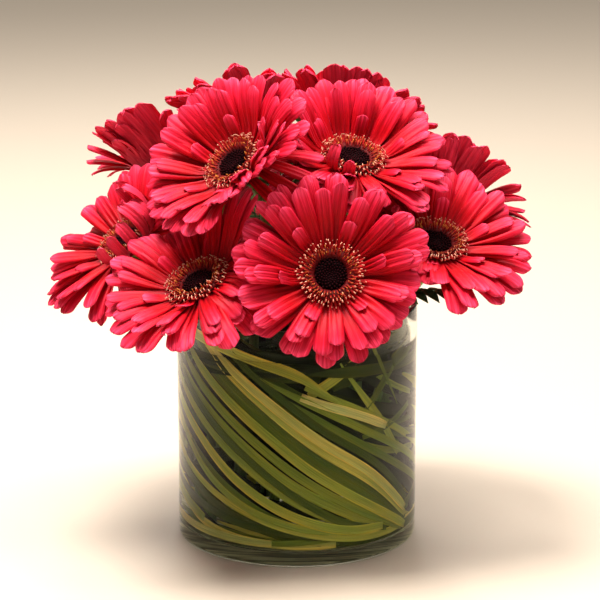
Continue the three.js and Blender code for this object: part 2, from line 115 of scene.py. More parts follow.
# The sides of a head whose petals are shorter: degrees round it, spread and the share that is left
TRIMMED = {"front": ((-33, 34, 0.82), (-92, 36, 0.88)), "right": ((246, 30, 0.42),)}


# Meshes

class Skin:
    """Collects vertices and faces in millimetres, with the values that the materials read:
    grain (across, along, seed), share (0 at a root to 1 at a tip) and tone (0 to 1)."""

    def __init__(self):
        self.points, self.faces, self.grain, self.share, self.tone = [], [], [], [], []
        self.count = 0

    def add(self, points, faces, grain=None, share=0.0, tone=0.5):
        points = np.asarray(points, float).reshape(-1, 3)
        size = len(points)
        self.points.append(points)
        self.faces.extend([[i + self.count for i in face] for face in faces])
        self.grain.append(points if grain is None else np.asarray(grain, float).reshape(-1, 3))
        for values, value in ((self.share, share), (self.tone, tone)):
            values.append(np.broadcast_to(np.asarray(value, float).ravel(), (size,)))
        self.count += size

    def add_on(self, head, points, faces, share, tone):
        """Adds a mesh that is given in the head's own frame."""
        self.add(head.world(points), faces, points, share, tone)

    def piece(self, name, material, slot, replaced=()):
        mesh = bpy.data.meshes.new(name)
        points = np.concatenate(self.points) * MM
        mesh.from_pydata(points.tolist(), [], self.faces)
        for label, kind, field, values in (("grain", "FLOAT_VECTOR", "vector", self.grain),
                                           ("share", "FLOAT", "value", self.share),
                                           ("tone", "FLOAT", "value", self.tone)):
            layer = mesh.attributes.new(label, kind, "POINT")
            layer.data.foreach_set(field, np.concatenate(values).astype(np.float32).ravel())
        mesh.polygons.foreach_set("use_smooth", [True] * len(mesh.polygons))
        mesh.materials.append(material)
        mesh.update()
        piece = in_scene(name, mesh)
        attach(piece, BODY)
        if replaced:
            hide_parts(*replaced)
        return piece


def in_scene(name, data):
    made = bpy.data.objects.new(name, data)
    bpy.context.scene.collection.objects.link(made)
    return made


def grid_faces(rows, columns, start=0, flip=False):
    faces = []
    for i in range(rows - 1):
        for k in range(columns - 1):
            a = start + i * columns + k
            face = [a, a + 1, a + columns + 1, a + columns]
            faces.append(face[::-1] if flip else face)
    return faces


def shell_faces(rows, columns):
    """Faces of a closed thin shell: a top grid, a bottom grid and the rim between them."""
    size = rows * columns
    faces = grid_faces(rows, columns) + grid_faces(rows, columns, size, flip=True)
    rim = list(range(columns))
    rim += [i * columns + columns - 1 for i in range(1, rows)]
    rim += [(rows - 1) * columns + k for k in range(columns - 2, -1, -1)]
    rim += [i * columns for i in range(rows - 2, 0, -1)]
    for a, b in zip(rim, rim[1:] + rim[:1]):
        faces.append([b, a, a + size, b + size])
    return faces


def ring_faces(rings, sides, ends="capped"):
    """Faces between rings of points, whose ends are capped, open, or joined to each other."""
    faces = []
    for i in range(rings if ends == "joined" else rings - 1):
        after = (i + 1) % rings
        for k in range(sides):
            n = (k + 1) % sides
            faces.append([i * sides + k, i * sides + n, after * sides + n, after * sides + k])
    if ends == "capped":
        faces.append(list(range(sides))[::-1])
        faces.append([(rings - 1) * sides + k for k in range(sides)])
    return faces


def circle(radius, height, sides):
    angles = np.arange(sides) * CIRCLE / sides
    return np.stack([radius * np.cos(angles), radius * np.sin(angles), np.full(sides, height)], 1)


def compass(turn):
    """The directions outward and sideways at one place round a head."""
    return (np.array([math.cos(turn), math.sin(turn), 0.0]),
            np.array([math.sin(turn), -math.cos(turn), 0.0]))


def upright(out, reach, height):
    """Vectors in the upright plane that holds the outward direction."""
    return np.outer(reach, out) + np.outer(height, UP)


def unit(v):
    v = np.asarray(v, float)
    return v / np.linalg.norm(v, axis=-1, keepdims=True)


def smooth_step(x):
    x = np.clip(x, 0.0, 1.0)
    return x * x * (3 - 2 * x)


def summed(steps):
    return np.concatenate([[0.0], np.cumsum(steps)])


def run_along(path):
    """How far each point of a path is from its start."""
    return summed(np.linalg.norm(np.diff(path, axis=0), axis=1))


def tube(skin, path, radii, sides, tone, ribs=0.0):
    """A closed tube along a list of points, with grain running along it."""
    path = np.asarray(path, float)
    ahead = unit(np.gradient(path, axis=0))
    normal = unit(np.cross(ahead[0], (1.0, 0.0, 0.0)))
    rings, grain = [], []
    runs = run_along(path)
    angles = np.arange(sides) * CIRCLE / sides
    swell = 1 + ribs * np.cos(angles * (sides // 2))
    for place, direction, radius, run in zip(path, ahead, radii, runs):
        normal = unit(normal - direction * np.dot(normal, direction))
        other = np.cross(direction, normal)
        rim = np.outer(np.cos(angles) * swell, normal) + np.outer(np.sin(angles) * swell, other)
        rings.append(place + radius * rim)
        grain.append(np.stack([angles * radius, np.full(sides, run), np.full(sides, tone * 97)], 1))
    share = np.repeat(runs / runs[-1], sides)
    skin.add(np.concatenate(rings), ring_faces(len(path), sides), np.concatenate(grain), share, tone)


def turned(profile, sides):
    """Points and faces of a turned solid about Z, whose profile starts and ends on the axis."""
    inner = profile[1:-1]
    points = np.concatenate([circle(radius, height, sides) for radius, height in inner])
    faces = ring_faces(len(inner), sides, "open")
    size = len(points)
    last = size - sides
    for k in range(sides):
        n = (k + 1) % sides
        faces.append([size, n, k])
        faces.append([size + 1, last + k, last + n])
    return np.vstack([points, [(0, 0, profile[0][1]), (0, 0, profile[-1][1])]]), faces


def rounded(centre, radius, start, sweep, steps):
    angles = np.radians(start + sweep * np.arange(steps + 1) / steps)
    return [(centre[0] + radius * math.cos(a), centre[1] + radius * math.sin(a)) for a in angles]


# Where the heads and stems are

class Head:
    def __init__(self, rank, name, hub, face, neck):
        self.rank, self.name, self.neck = rank, name, neck
        self.hub = np.array(hub, float)
        self.face = unit(face)
        turn = Vector((0, 0, 1)).rotation_difference(Vector(self.face))
        self.turn = np.array(turn.to_matrix())

    def world(self, points):
        return np.asarray(points, float) @ self.turn.T + self.hub


def place_at(neck, height):
    """Where the straight part of a stem is at a height, given its neck."""
    distance, degrees = neck
    part = (height - STEM["foot"]) / (STEM["neck"] - STEM["foot"])
    low = distance * STEM["foot_spread"]
    twist = math.radians(STEM["twist"])
    x = (1 - part) * low * math.cos(twist) + part * distance
    y = (1 - part) * low * math.sin(twist)
    turn = math.radians(degrees)
    cos, sin = math.cos(turn), math.sin(turn)
    return np.array([x * cos - y * sin, x * sin + y * cos, height])


def stem_path(head, steps=60):
    foot, neck = place_at(head.neck, STEM["foot"]), place_at(head.neck, STEM["neck"])
    end = head.hub + head.face * CUP["stem_end"]
    span = np.linalg.norm(end - neck)
    up = unit(neck - foot)
    controls = [neck, neck + up * span * STEM["launch"], end - head.face * span * STEM["arrive"], end]
    t = np.linspace(0, 1, steps // 2)[:, None]
    line = foot + (neck - foot) * t[:-1]
    weights = [(1 - t) ** 3, 3 * t * (1 - t) ** 2, 3 * t * t * (1 - t), t ** 3]
    bow = sum(c * w for c, w in zip(controls, weights))
    return np.concatenate([line, bow])


def wished_points(head):
    """Rings of points that a head wants on its own side of a wall, and how much it wants each of them,
    when it is the upper head of the two and when it is the lower one."""
    wishes = (((FLORET_RING["radius"], FLORET_RING["height"]), 30, 30),
              ((CUP["top_radius"], CUP["top"]), 30, 30),
              ((CUP["throat_radius"], CUP["tail"]), 10, 10),
              ((PETAL["root_radius"] + PETAL["under_florets"], 3), 10, 10),
              ((38, 6), 4, 0.5),
              ((55, 8), 3, 0.2))
    count = CROWDING["directions"]
    points = [circle(radius, height, count) for (radius, height), over, under in wishes]
    weights = [np.tile((over, under), (count, 1)) for place, over, under in wishes]
    return head.world(np.concatenate(points)), np.concatenate(weights).astype(float)


def wall_between(over, under):
    """The sloping wall between two heads that leaves out the least of what they want."""
    across = unit(over.hub - under.hub)
    lift = over.face + under.face
    lift = unit(lift - across * np.dot(lift, across))
    middle = (over.hub + under.hub) / 2
    best = (math.inf, None, None)
    for degrees in CROWDING["tilts"]:
        normal = across * math.cos(math.radians(degrees)) + lift * math.sin(math.radians(degrees))
        for shift in CROWDING["shifts"]:
            level = middle @ normal + shift
            cost = 0.0
            for head, side, rank in ((over, 1, 0), (under, -1, 1)):
                points, weights = head.wished
                depth = CROWDING["margin"] - side * (points @ normal - level)
                cost += float((weights[:, rank] * np.maximum(0, depth)).sum())
            if cost < best[0] - 1e-9:
                best = (cost, normal, level)
    return best[1], best[2]


def walls_of(head, heads):
    normals, levels = [], []
    for other in heads:
        if other is head or np.linalg.norm(head.hub - other.hub) > CROWDING["reach"]:
            continue
        over, under, side = (head, other, 1) if head.rank < other.rank else (other, head, -1)
        normal, level = wall_between(over, under)
        normals.append(normal * side)
        levels.append(level * side)
    return np.array(normals), np.array(levels)


def is_clear(head, points, room):
    if (points @ head.walls[0].T - head.walls[1] < room["margin"]).any():
        return False
    over_vase = np.hypot(points[:, 0], points[:, 1]) < VASE["radius"] + room["vase_room"]
    if (over_vase & (points[:, 2] < VASE["height"] + room["vase_room"])).any():
        return False
    low, high = points.min(0) - CROWDING["near"], points.max(0) + CROWDING["near"]
    near = head.stem_points[((head.stem_points > low) & (head.stem_points < high)).all(1)]
    if len(near) == 0:
        return True
    gaps = np.linalg.norm(points[:, None] - near[None], axis=2)
    return bool((gaps > STEM["radius"] + room["stem_room"]).all())


def solid_petal_points(layer, turn, length, bend):
    """The corners and mid points of the plain petal that the solids have in this place."""
    climb = min(layer["rise"] + bend, PETAL["steepest"])
    # the run to the next station, and the slope, width and keel at this one
    stations = ((PETAL["under_florets"], layer["lift"], 4.6, 0.8),
                (0.68 * length - PETAL["under_florets"], climb, 7.6, 1.0),
                (0.32 * length, climb + layer["droop"], 12.8, 1.5),
                (0, climb + layer["droop"], 6.0, 0.8))
    out, right = compass(turn)
    middle = out * PETAL["root_radius"] + UP * layer["start"]
    rings = []
    for run, angle, width, keel in stations:
        slope = math.radians(angle)
        below = out * math.sin(slope) - UP * math.cos(slope)
        rings.append([middle - right * width / 2, middle + right * width / 2, middle + below * keel])
        middle = middle + (out * math.cos(slope) + UP * math.sin(slope)) * run
    rings = np.array(rings[1:])
    return np.concatenate([rings, (rings[1:] + rings[:-1]) / 2]).reshape(-1, 3)


def trim_at(head, turn):
    """The share of their length that petals keep on the head's trimmed sides."""
    kept = 1.0
    for side, spread, share in TRIMMED.get(head.name, ()):
        away = abs((math.degrees(turn) - side + 180) % 360 - 180)
        kept = min(kept, 1 - (1 - share) * float(smooth_step(1.5 - away / spread)))
    return kept


def lift_at(head, turn):
    side, degrees = LIFTED.get(head.name, (0, 0))
    return degrees * max(0.0, math.cos(turn - math.radians(side)))


def clear_share(head, turn, bend):
    """How much of their length petals can keep with this bend, or none."""
    for cut in CROWDING["shorter"]:
        petals = (solid_petal_points(layer, turn, layer["length"] * cut, bend) for layer in SOLID_LAYERS)
        if all(is_clear(head, head.world(points), CROWDING) for points in petals):
            return cut
    return 0


def bends_round(head):
    """How far petals bend in each direction round a head: the cheapest way round, where bending,
    changing from the neighbouring direction and being cut short cost."""
    bends = list(CROWDING["bends"])
    count = CROWDING["directions"]
    price = np.zeros((count, len(bends)))
    for d in range(count):
        turn = CIRCLE * d / count
        for i, bend in enumerate(bends):
            change = abs(bend - lift_at(head, turn))
            short = 1 - clear_share(head, turn, bend)
            price[d, i] = change / CROWDING["easy_bend"] + CROWDING["cut_cost"] * short
    steps = np.subtract.outer(np.array(bends, float), np.array(bends, float)) / CROWDING["easy_change"]
    cost = np.zeros(len(bends))
    came_from = []
    for step in range(3 * count):
        ways = cost[None, :] + steps ** 2
        came_from.append(ways.argmin(1))
        cost = ways.min(1) + price[step % count]
    at = int(cost.argmin())
    chosen = [0] * count
    for step in range(len(came_from) - 1, count - 1, -1):
        if step < 2 * count:
            chosen[step % count] = bends[at]
        at = int(came_from[step][at])
    return chosen


def bend_at(head, turn):
    count = len(head.bends)
    place = (turn / CIRCLE + 2) * count
    index = int(math.floor(place))
    part = place - index
    return head.bends[index % count] * (1 - part) + head.bends[(index + 1) % count] * part


# Petals

# The grid of a petal, with more rows near its tip, and the points of it that are tested for room
TIP_FROM = 0.87
ALONG = np.concatenate([np.linspace(0, TIP_FROM, 9),
                        TIP_FROM + (1 - TIP_FROM) * np.sin(np.radians(np.linspace(15, 83, 6)))])
ACROSS = np.linspace(-1, 1, 10)
TESTED = np.ix_((4, 6, 8, 10, 12, 14), (0, 5, 9))

# A petal's width at its root and where it is full, the cut of its three teeth, and its under side's tone
ROOT_WIDTH = 0.5
FULL_FROM = 0.62
NOTCH = 0.45
UNDER_TONE = 1.0

# What differs from petal to petal: the range of each value, in the order in which they are drawn
VARIED_FIRST = {"length": (0.96, 1.03), "width": (0.9, 1.1), "rise": (-3, 3), "droop": (-4, 3)}
CURLS = (-16, -9, -4, 0, 4)
VARIED_LAST = {"twist": (-12, 12), "sway": (-0.04, 0.04), "cupped": (-1.3, 0.8), "ridge": (0.5, 0.95),
               "slant": (-0.7, 0.7), "wave": (-0.6, 0.6), "seed": (0, 400)}

# The flat base under the petals, as a profile
COLLAR = ((0, -3.2), (13.5, -3.2), (16, -1.6), (15.5, -0.4), (13, 0), (0, 0))


def petal_slopes(layer, shape, run):
    """The slope of a petal's middle at each distance along it, in radians."""
    under, curl = PETAL["under_florets"], shape["curl"]
    rise = min(shape["rise"], PETAL["steepest"])
    droop = layer["droop"] + shape["droop"]
    places = (0, under - 3, under + 4, 0.6 * shape["length"], 0.86 * shape["length"], shape["length"])
    return np.radians(np.interp(run, places, (
        layer["lift"], layer["lift"], rise, rise + 0.25 * curl,
        rise + 1.3 * droop + 0.65 * curl, rise + 2 * droop + curl)))


def swept(start, slopes, steps):
    """Reach and height of a line that starts at one place and follows the slopes."""
    between = (slopes[1:] + slopes[:-1]) / 2
    return start[0] + summed(steps * np.cos(between)), start[1] + summed(steps * np.sin(between))


def petal_sheets(row, turn, shape):
    """Upper and lower face of one petal as grids of points, in the head's own frame."""
    run = ALONG * shape["length"]
    slopes = petal_slopes(SOLID_LAYERS[row["layer"]], shape, run)
    reach, height = swept((PETAL["root_radius"], row["start"]), slopes, np.diff(run))
    aside = shape["sway"] * shape["length"] * ALONG ** 2

    out, right = compass(turn)
    middle = upright(out, reach, height) + np.outer(aside, right)
    ahead = upright(out, np.cos(slopes), np.sin(slopes))
    above = upright(out, -np.sin(slopes), np.cos(slopes))
    roll = np.radians(shape["twist"]) * smooth_step((ALONG - 0.2) / 0.7)[:, None]
    sideways = right * np.cos(roll) + above * np.sin(roll)
    above = above * np.cos(roll) - right * np.sin(roll)

    half = shape["width"] / 2 * (ROOT_WIDTH + (1 - ROOT_WIDTH) * smooth_step(ALONG / FULL_FROM))
    half = half * np.clip(1 - ((ALONG - TIP_FROM) / (1 - TIP_FROM)).clip(0) ** 2.2, 0, 1) ** 0.5
    # how far a point stands off the middle: three ridges, a root like a gutter that flattens, and a wave
    u, t = ACROSS[None, :], ALONG[:, None]
    fade = smooth_step(t / 0.2) * (1 - 0.4 * smooth_step((t - 0.8) / 0.2))
    ridge = shape["ridge"] * np.cos(3 * math.pi * u + shape["slant"] * t) * fade
    hollow = (1.5 - (2.4 + shape["cupped"]) * smooth_step((t - 0.25) / 0.5)) * (u ** 2 - 0.3)
    wave = shape["wave"] * np.sin(5 * t + shape["seed"]) * u * smooth_step(t / 0.5)
    lifted = ridge + hollow * shape["width"] / 10 + wave
    notch = NOTCH * (1 - np.cos(3 * math.pi * u)) * smooth_step((t - 0.88) / 0.12)

    across = u * half[:, None]
    points = (middle[:, None] + across[..., None] * sideways[:, None]
              + lifted[..., None] * above[:, None] - notch[..., None] * ahead[:, None])
    thick = PETAL["thickness"] * (1 - 0.55 * u ** 4) * (1 - 0.3 * t)
    below = points - thick[..., None] * above[:, None]
    grain = np.stack([across, np.broadcast_to(run[:, None], across.shape),
                      np.full(across.shape, shape["seed"])], 2)
    return points, below, grain


def fitted_petal(head, row, turn, shape):
    """The petal bends up or down, and then gets shorter, until it is clear of its neighbours."""
    base = shape["rise"] + bend_at(head, turn)
    full = shape["length"]
    for cut in FINE_FIT["shorter"]:
        for extra in FINE_FIT["extra_bends"]:
            shape["rise"] = base + extra
            shape["length"] = full * cut
            sheets = petal_sheets(row, turn, shape)
            if is_clear(head, head.world(sheets[0][TESTED].reshape(-1, 3)), FINE_FIT):
                return sheets
    return None


def add_petal(skin, head, sheets, tone):
    upper, lower, grain = sheets
    points = head.world(np.concatenate([upper.reshape(-1, 3), lower.reshape(-1, 3)]))
    share = np.tile(np.repeat(ALONG, len(ACROSS)), 2)
    tones = np.repeat((0.8 * tone, UNDER_TONE), len(points) // 2)
    skin.add(points, shell_faces(*upper.shape[:2]), np.tile(grain.reshape(-1, 3), (2, 1)), share, tones)


def petal_shape(row, dice):
    shape = {key: dice.uniform(*ends) for key, ends in VARIED_FIRST.items()}
    shape["length"] *= row["length"]
    shape["width"] *= row["width"]
    shape["rise"] += row["rise"]
    shape["curl"] = dice.choice(CURLS) * dice.uniform(0.5, 1.4)
    shape.update((key, dice.uniform(*ends)) for key, ends in VARIED_LAST.items())
    return shape


def make_petals(head, material):
    dice = random.Random(500 + head.rank)
    skin = Skin()
    skin.add_on(head, *turned(COLLAR, 40), 0.0, 0.4)
    spin = dice.uniform(0, CIRCLE)
    for row in ROWS:
        for k in range(row["count"]):
            turn = spin + CIRCLE * (k + row["turn"]) / row["count"] + math.radians(dice.uniform(-3.5, 3.5))
            shape = petal_shape(row, dice)
            shape["length"] *= trim_at(head, turn)
            sheets = fitted_petal(head, row, turn % CIRCLE, shape)
            if sheets is not None:
                add_petal(skin, head, sheets, dice.uniform(0, 1))
    for degrees, length, rise, curl in CURLED.get(head.name, ()):
        row = ROWS[-1]
        shape = petal_shape(row, dice)
        shape.update(length=length, rise=rise, curl=curl, twist=dice.uniform(-8, 8), sway=0.0)
        add_petal(skin, head, petal_sheets(row, math.radians(degrees), shape), dice.uniform(0.4, 1))
    skin.piece(f"{head.name}_petals_fine", material, "petal", [f"{head.name}_petals"])


# Disc florets

# count, start as reach and height, slopes along a floret, length, width and tone
FLORET_ROWS = (
    (54, (14.2, 0.6), (58, 42, 22, 8, 20, 95, 175), 9.8, 1.5, 0.58),
    (50, (13.2, 1.6), (62, 50, 34, 22, 40, 110, 190), 8.8, 1.4, 0.46),
    (44, (12.0, 2.0), (66, 56, 44, 34, 40, 70, 110), 7.0, 1.3, 0.3),
    (40, (10.6, 2.2), (70, 62, 52, 44, 40, 40, 44), 5.2, 1.2, 0.12),
)
FLORET_TAPER = np.array((0.7, 0.9, 1.0, 1.0, 0.8, 0.55, 0.2))
FLORET_THICKNESS = 0.42
FLORET_UNEVEN = 7
FLORET_SEAT = ((9.75, 0.35), (15.2, 0.35), (17.0, 2.0), (15.6, 3.4), (12.4, 3.6), (9.9, 2.8))

# The highest tone of a floret, which is red with pale tips, and the golden tips, whose tone is 1
PALEST_FLORET = 0.6
GOLD_TIPS = {"count": 34, "reach": (11.4, 16.4), "height": (4.6, 5.6), "slope": (50, 100),
             "length": (1.4, 2.4), "widths": (0.5, 0.62, 0.3), "thickness": 0.5}


def strip_points(turn, start, slopes, length, width, thickness):
    """A narrow strap in the head's own frame, as rings of four points along its middle."""
    slopes = np.radians(slopes)
    reach, height = swept(start, slopes, length / (len(slopes) - 1))
    out, right = compass(turn)
    middle = upright(out, reach, height)
    above = upright(out, -np.sin(slopes), np.cos(slopes))
    half = np.asarray(width)[:, None] / 2
    rings = [middle + half * right, middle + above * thickness / 2,
             middle - half * right, middle - above * thickness / 2]
    return np.stack(rings, 1).reshape(-1, 3)


def make_florets(head, material):
    dice = random.Random(700 + head.rank)
    skin = Skin()
    sides = 48
    seat = np.concatenate([circle(radius, height, sides) for radius, height in FLORET_SEAT])
    skin.add_on(head, seat, ring_faces(len(FLORET_SEAT), sides, "joined"), 0.1, 0.1)
    rings = len(FLORET_TAPER)
    faces, share = ring_faces(rings, 4), np.repeat(np.linspace(0, 1, rings), 4)
    for count, start, angles, full, width, tone in FLORET_ROWS:
        for k in range(count):
            turn = CIRCLE * (k + dice.uniform(-0.35, 0.35)) / count
            slopes = np.array(angles, float) + np.cumsum([dice.gauss(0, FLORET_UNEVEN) for _ in range(rings)])
            length = full * dice.uniform(0.82, 1.08)
            points = strip_points(turn, start, slopes, length, width * FLORET_TAPER, FLORET_THICKNESS)
            skin.add_on(head, points, faces, share, min(PALEST_FLORET, tone + dice.uniform(0, 0.12)))
    for _ in range(GOLD_TIPS["count"]):
        turn = dice.uniform(0, CIRCLE)
        start = (dice.uniform(*GOLD_TIPS["reach"]), dice.uniform(*GOLD_TIPS["height"]))
        slopes = np.full(3, dice.uniform(*GOLD_TIPS["slope"]))
        length = dice.uniform(*GOLD_TIPS["length"])
        points = strip_points(turn, start, slopes, length, GOLD_TIPS["widths"], GOLD_TIPS["thickness"])
        skin.add_on(head, points, ring_faces(3, 4), np.repeat((0, 0.5, 1.0), 4), 1.0)
    skin.piece(f"{head.name}_florets_fine", material, "floret", [f"{head.name}_florets"])


# The eye

EYE_DOME = ((0, 0.3), (9.2, 0.3), (9.2, 2.0), (8.2, 3.0), (6.4, 3.6), (3, 3.0), (0, 2.6))
EYE_RADIUS = 8.9

# The buds: how many, their height and lean by distance from the middle, and their outline
BUDS = 104
BUD_HEIGHTS = ((0, 3, 6.6, EYE_RADIUS), (2.6, 3.0, 3.7, 2.2))
BUD_LEANS = ((0, 5, EYE_RADIUS), (0, -6, 38))
BUD_OUTLINE = ((0, 0.9), (0.6, 1.1), (1.0, 0.4))
BUD_SUNK = 0.3
GOLDEN_ANGLE = 137.508


def make_eye(head, material):
    dice = random.Random(900 + head.rank)
    skin = Skin()
    skin.add_on(head, *turned(EYE_DOME, 32), 0.0, 0.1)
    sides = 5
    angles = np.arange(sides) * CIRCLE / sides
    for k in range(BUDS):
        share = (k + 0.5) / BUDS
        radius = EYE_RADIUS * math.sqrt(share)
        height = np.interp(radius, *BUD_HEIGHTS)
        lean = math.radians(np.interp(radius, *BUD_LEANS))
        out, right = compass(math.radians(GOLDEN_ANGLE) * k)
        axis = out * math.sin(lean) + UP * math.cos(lean)
        root = out * radius + UP * (height - BUD_SUNK)
        size = (0.5 + 0.22 * share) * dice.uniform(0.9, 1.12)
        tall = (1.0 + 1.1 * share) * dice.uniform(0.85, 1.2)
        rim = np.outer(np.cos(angles), right) + np.outer(np.sin(angles), np.cross(axis, right))
        rings = [root + axis * tall * part + rim * size * swell for part, swell in BUD_OUTLINE]
        points = np.concatenate(rings)
        skin.add_on(head, points, ring_faces(3, sides), np.repeat((0, 0.6, 1.0), sides), share)
    skin.piece(f"{head.name}_eye_fine", material, "eye", [f"{head.name}_eye"])


# Stems with their cups

CUP_PROFILE = ((0, -20), (2.1, -20), (3.2, -17.5), (4.6, -15), (7.4, -12), (10.2, -8), (12.6, -4.2),
               (CUP["top_radius"], CUP["top"]), (0, CUP["top"]))

# The rows of bracts on a cup: count, radius, height, slope and length
BRACT_ROWS = ((16, 5.2, -14.6, 44, 9), (20, 8.2, -11.2, 58, 9.5))

# The fine stem, whose ribs are a share of its radius, and the hairs on its upper part
STEM_RADII = (3.05, 2.75)
STEM_RIBS = 0.035
HAIRS = {"count": 150, "root": 2.7, "radii": (0.09, 0.03), "length": (0.9, 1.8), "places": (0.55, 0.97),
         "tone": 0.98}

# Bracts and small leaves
LEAF_THICKNESS = 0.22


def leaf_sheet(rows, half_at, root, frame_of_leaf, length, fold, arch):
    """A small pointed leaf: upper grid and lower grid, folded a little along its middle."""
    along, right, above = frame_of_leaf
    t = np.linspace(0, 1, rows)[:, None]
    u = np.linspace(-1, 1, 3)[None, :]
    half = half_at(t)
    middle = root + t[..., None] * length * along - (t ** 2)[..., None] * arch * above
    upper = middle + (u * half)[..., None] * right + (np.abs(u) * half * fold)[..., None] * above
    lower = upper - LEAF_THICKNESS * above
    return np.concatenate([upper.reshape(-1, 3), lower.reshape(-1, 3)])


def bract_half(t):
    return 1.7 * np.sqrt(1.02 - t ** 2) * (0.7 + 0.6 * t)


def make_stem(head, material):
    dice = random.Random(1100 + head.rank)
    skin = Skin()
    path = stem_path(head)
    tube(skin, path, np.linspace(*STEM_RADII, len(path)), 16, dice.uniform(0.3, 0.7), STEM_RIBS)
    skin.add_on(head, *turned(CUP_PROFILE, 28), 0.2, 0.45)
    share = np.tile(np.repeat(np.linspace(0.2, 1, 5), 3), 2)
    for count, radius, height, slope, length in BRACT_ROWS:
        for k in range(count):
            out, right = compass(CIRCLE * (k + dice.uniform(-0.2, 0.2)) / count)
            lean = math.radians(slope + dice.uniform(-4, 4))
            along = out * math.cos(lean) + UP * math.sin(lean)
            above = out * math.sin(lean) - UP * math.cos(lean)
            points = leaf_sheet(5, bract_half, out * radius + UP * height, (along, right, above),
                                length * dice.uniform(0.85, 1.05), -0.2, -0.8)
            skin.add_on(head, points, shell_faces(5, 3), share, dice.uniform(0.35, 0.75))
    ahead = unit(np.gradient(path, axis=0))
    for _ in range(HAIRS["count"]):
        at = dice.uniform(*HAIRS["places"]) * (len(path) - 1)
        index = int(at)
        place = path[index] + (path[index + 1] - path[index]) * (at - index)
        aside = unit(np.cross(ahead[index], [dice.gauss(0, 1) for _ in range(3)]))
        root = place + aside * HAIRS["root"]
        tip = aside * dice.uniform(*HAIRS["length"]) + ahead[index] * dice.uniform(-0.5, 0.5)
        tube(skin, [root, root + tip], HAIRS["radii"], 3, HAIRS["tone"])
    skin.piece(f"{head.name}_stem_fine", material, "stem", [f"{head.name}_stem"])


# Vase and water

VASE_SIDES = 128

# The water reaches a little into the glass, so that no gap shows between them
WATER_OVERLAP = 0.12


def make_vase(material, wet_material, under_material):
    radius, height, wall, base, foot, rim, inner_round, hollow = VASE.values()
    inside, tread = radius - wall, radius - foot
    # the hollow underside, the foot, the outside, the rim, the inside and the floor
    profile = [(0, hollow), (30, hollow), (60, hollow), (tread - 2.6, hollow), (tread - 1.4, 0)]
    profile += rounded((tread, foot), foot, -90, 90, 8)
    profile += [(radius, 20), (radius, 75), (radius, height - 12)]
    profile += rounded((radius - rim, height - rim), rim, 0, 90, 6)
    profile += rounded((inside + rim, height - rim), rim, 90, 90, 6)
    profile += [(inside, height - 12), (inside, 75), (inside, 25)]
    profile += rounded((inside - inner_round, base + inner_round), inner_round, 0, -90, 8)
    profile += [(inside - inner_round - 0.6, base), (55, base), (25, base), (0, base)]
    skin = Skin()
    skin.add(*turned(profile, VASE_SIDES))
    piece = skin.piece("vase_fine", material, "glass", ["vase"])
    piece.data.materials.append(wet_material)
    piece.data.materials.append(under_material)
    # Faces inside and under the water get the wet glass; the hollow underside gets the opaque foot, which has
    # the leaves seen through the glass painted on it as stripes.
    for face in piece.data.polygons:
        middle = face.center / MM
        from_axis = math.hypot(middle.x, middle.y)
        if base - 0.5 < middle.z < WATER_LEVEL and from_axis < inside + 0.5:
            face.material_index = 1
        elif middle.z < hollow + 0.1 and from_axis < tread:
            face.material_index = 2


def make_water(material, side_material):
    inside = VASE["radius"] - VASE["wall"] + WATER_OVERLAP
    bottom = VASE["base"] - WATER_OVERLAP
    corner = VASE["inner_round"]
    profile = [(0, bottom), (30, bottom), (60, bottom)]
    profile += rounded((inside - corner, bottom + corner), corner, -90, 90, 8)
    profile += [(inside, 40), (inside, 80), (inside, WATER_LEVEL - 6)]
    # the edge that climbs the glass: distance from the glass and height over the level
    for away, above in ((0, 1.4), (0.5, 0.9), (1.3, 0.4), (2.6, 0.1), (4.5, 0)):
        profile.append((inside - away, WATER_LEVEL + above))
    profile += [(40, WATER_LEVEL), (0, WATER_LEVEL)]
    skin = Skin()
    skin.add(*turned(profile, VASE_SIDES))
    piece = skin.piece("water_fine", material, "water", ["water"])
    piece.data.materials.append(side_material)
    for face in piece.data.polygons:
        if face.center.z / MM < WATER_LEVEL - 1:
            face.material_index = 1


# Strap leaves on the glass

STRAP_RADIUS = {"glass": 70.8, "second": 69.35, "third": 67.9}
STRAP = {"width": 6.0, "thickness": 0.45, "tip_length": 30.0, "tip_share": 0.2, "blunt_share": 0.85,
         "root_length": 8, "root_share": 0.75, "fold": 0.32, "ripple": 0.07, "step": 4.0, "columns": 7,
         "lowest": 11.5, "highest": 145}

# The leaves that the solids have: layer, tone (0 nearly black, which is painted shade, to 1 khaki) and
# places that the leaf passes, as degrees round the axis from the front towards +X, and height
LEAF_RUNS = (
    ("glass", 0.86, ((66, 24), (38, 56), (11, 80), (-18, 108), (-50, 138))),
    ("second", 0.35, ((67, 16), (40, 44), (11, 69), (-18, 98), (-62, 139))),
    ("glass", 0.62, ((66, 13), (40, 33), (11, 57), (-18, 86), (-72, 136))),
    ("second", 0.55, ((54, 15), (30, 29), (0, 50), (-30, 77), (-88, 126))),
    ("glass", 0.66, ((47, 19), (26, 21), (0, 31), (-28, 50), (-58, 78), (-110, 118))),
    ("third", 0.3, ((150, 13), (90, 13), (30, 13), (0, 17), (-30, 27), (-90, 58), (-140, 84))),
    ("third", 0.25, ((18, 112), (32, 118), (52, 125), (80, 118), (120, 90))),
    ("third", 0.32, ((85, 66), (40, 84), (0, 108), (-40, 138))),
)

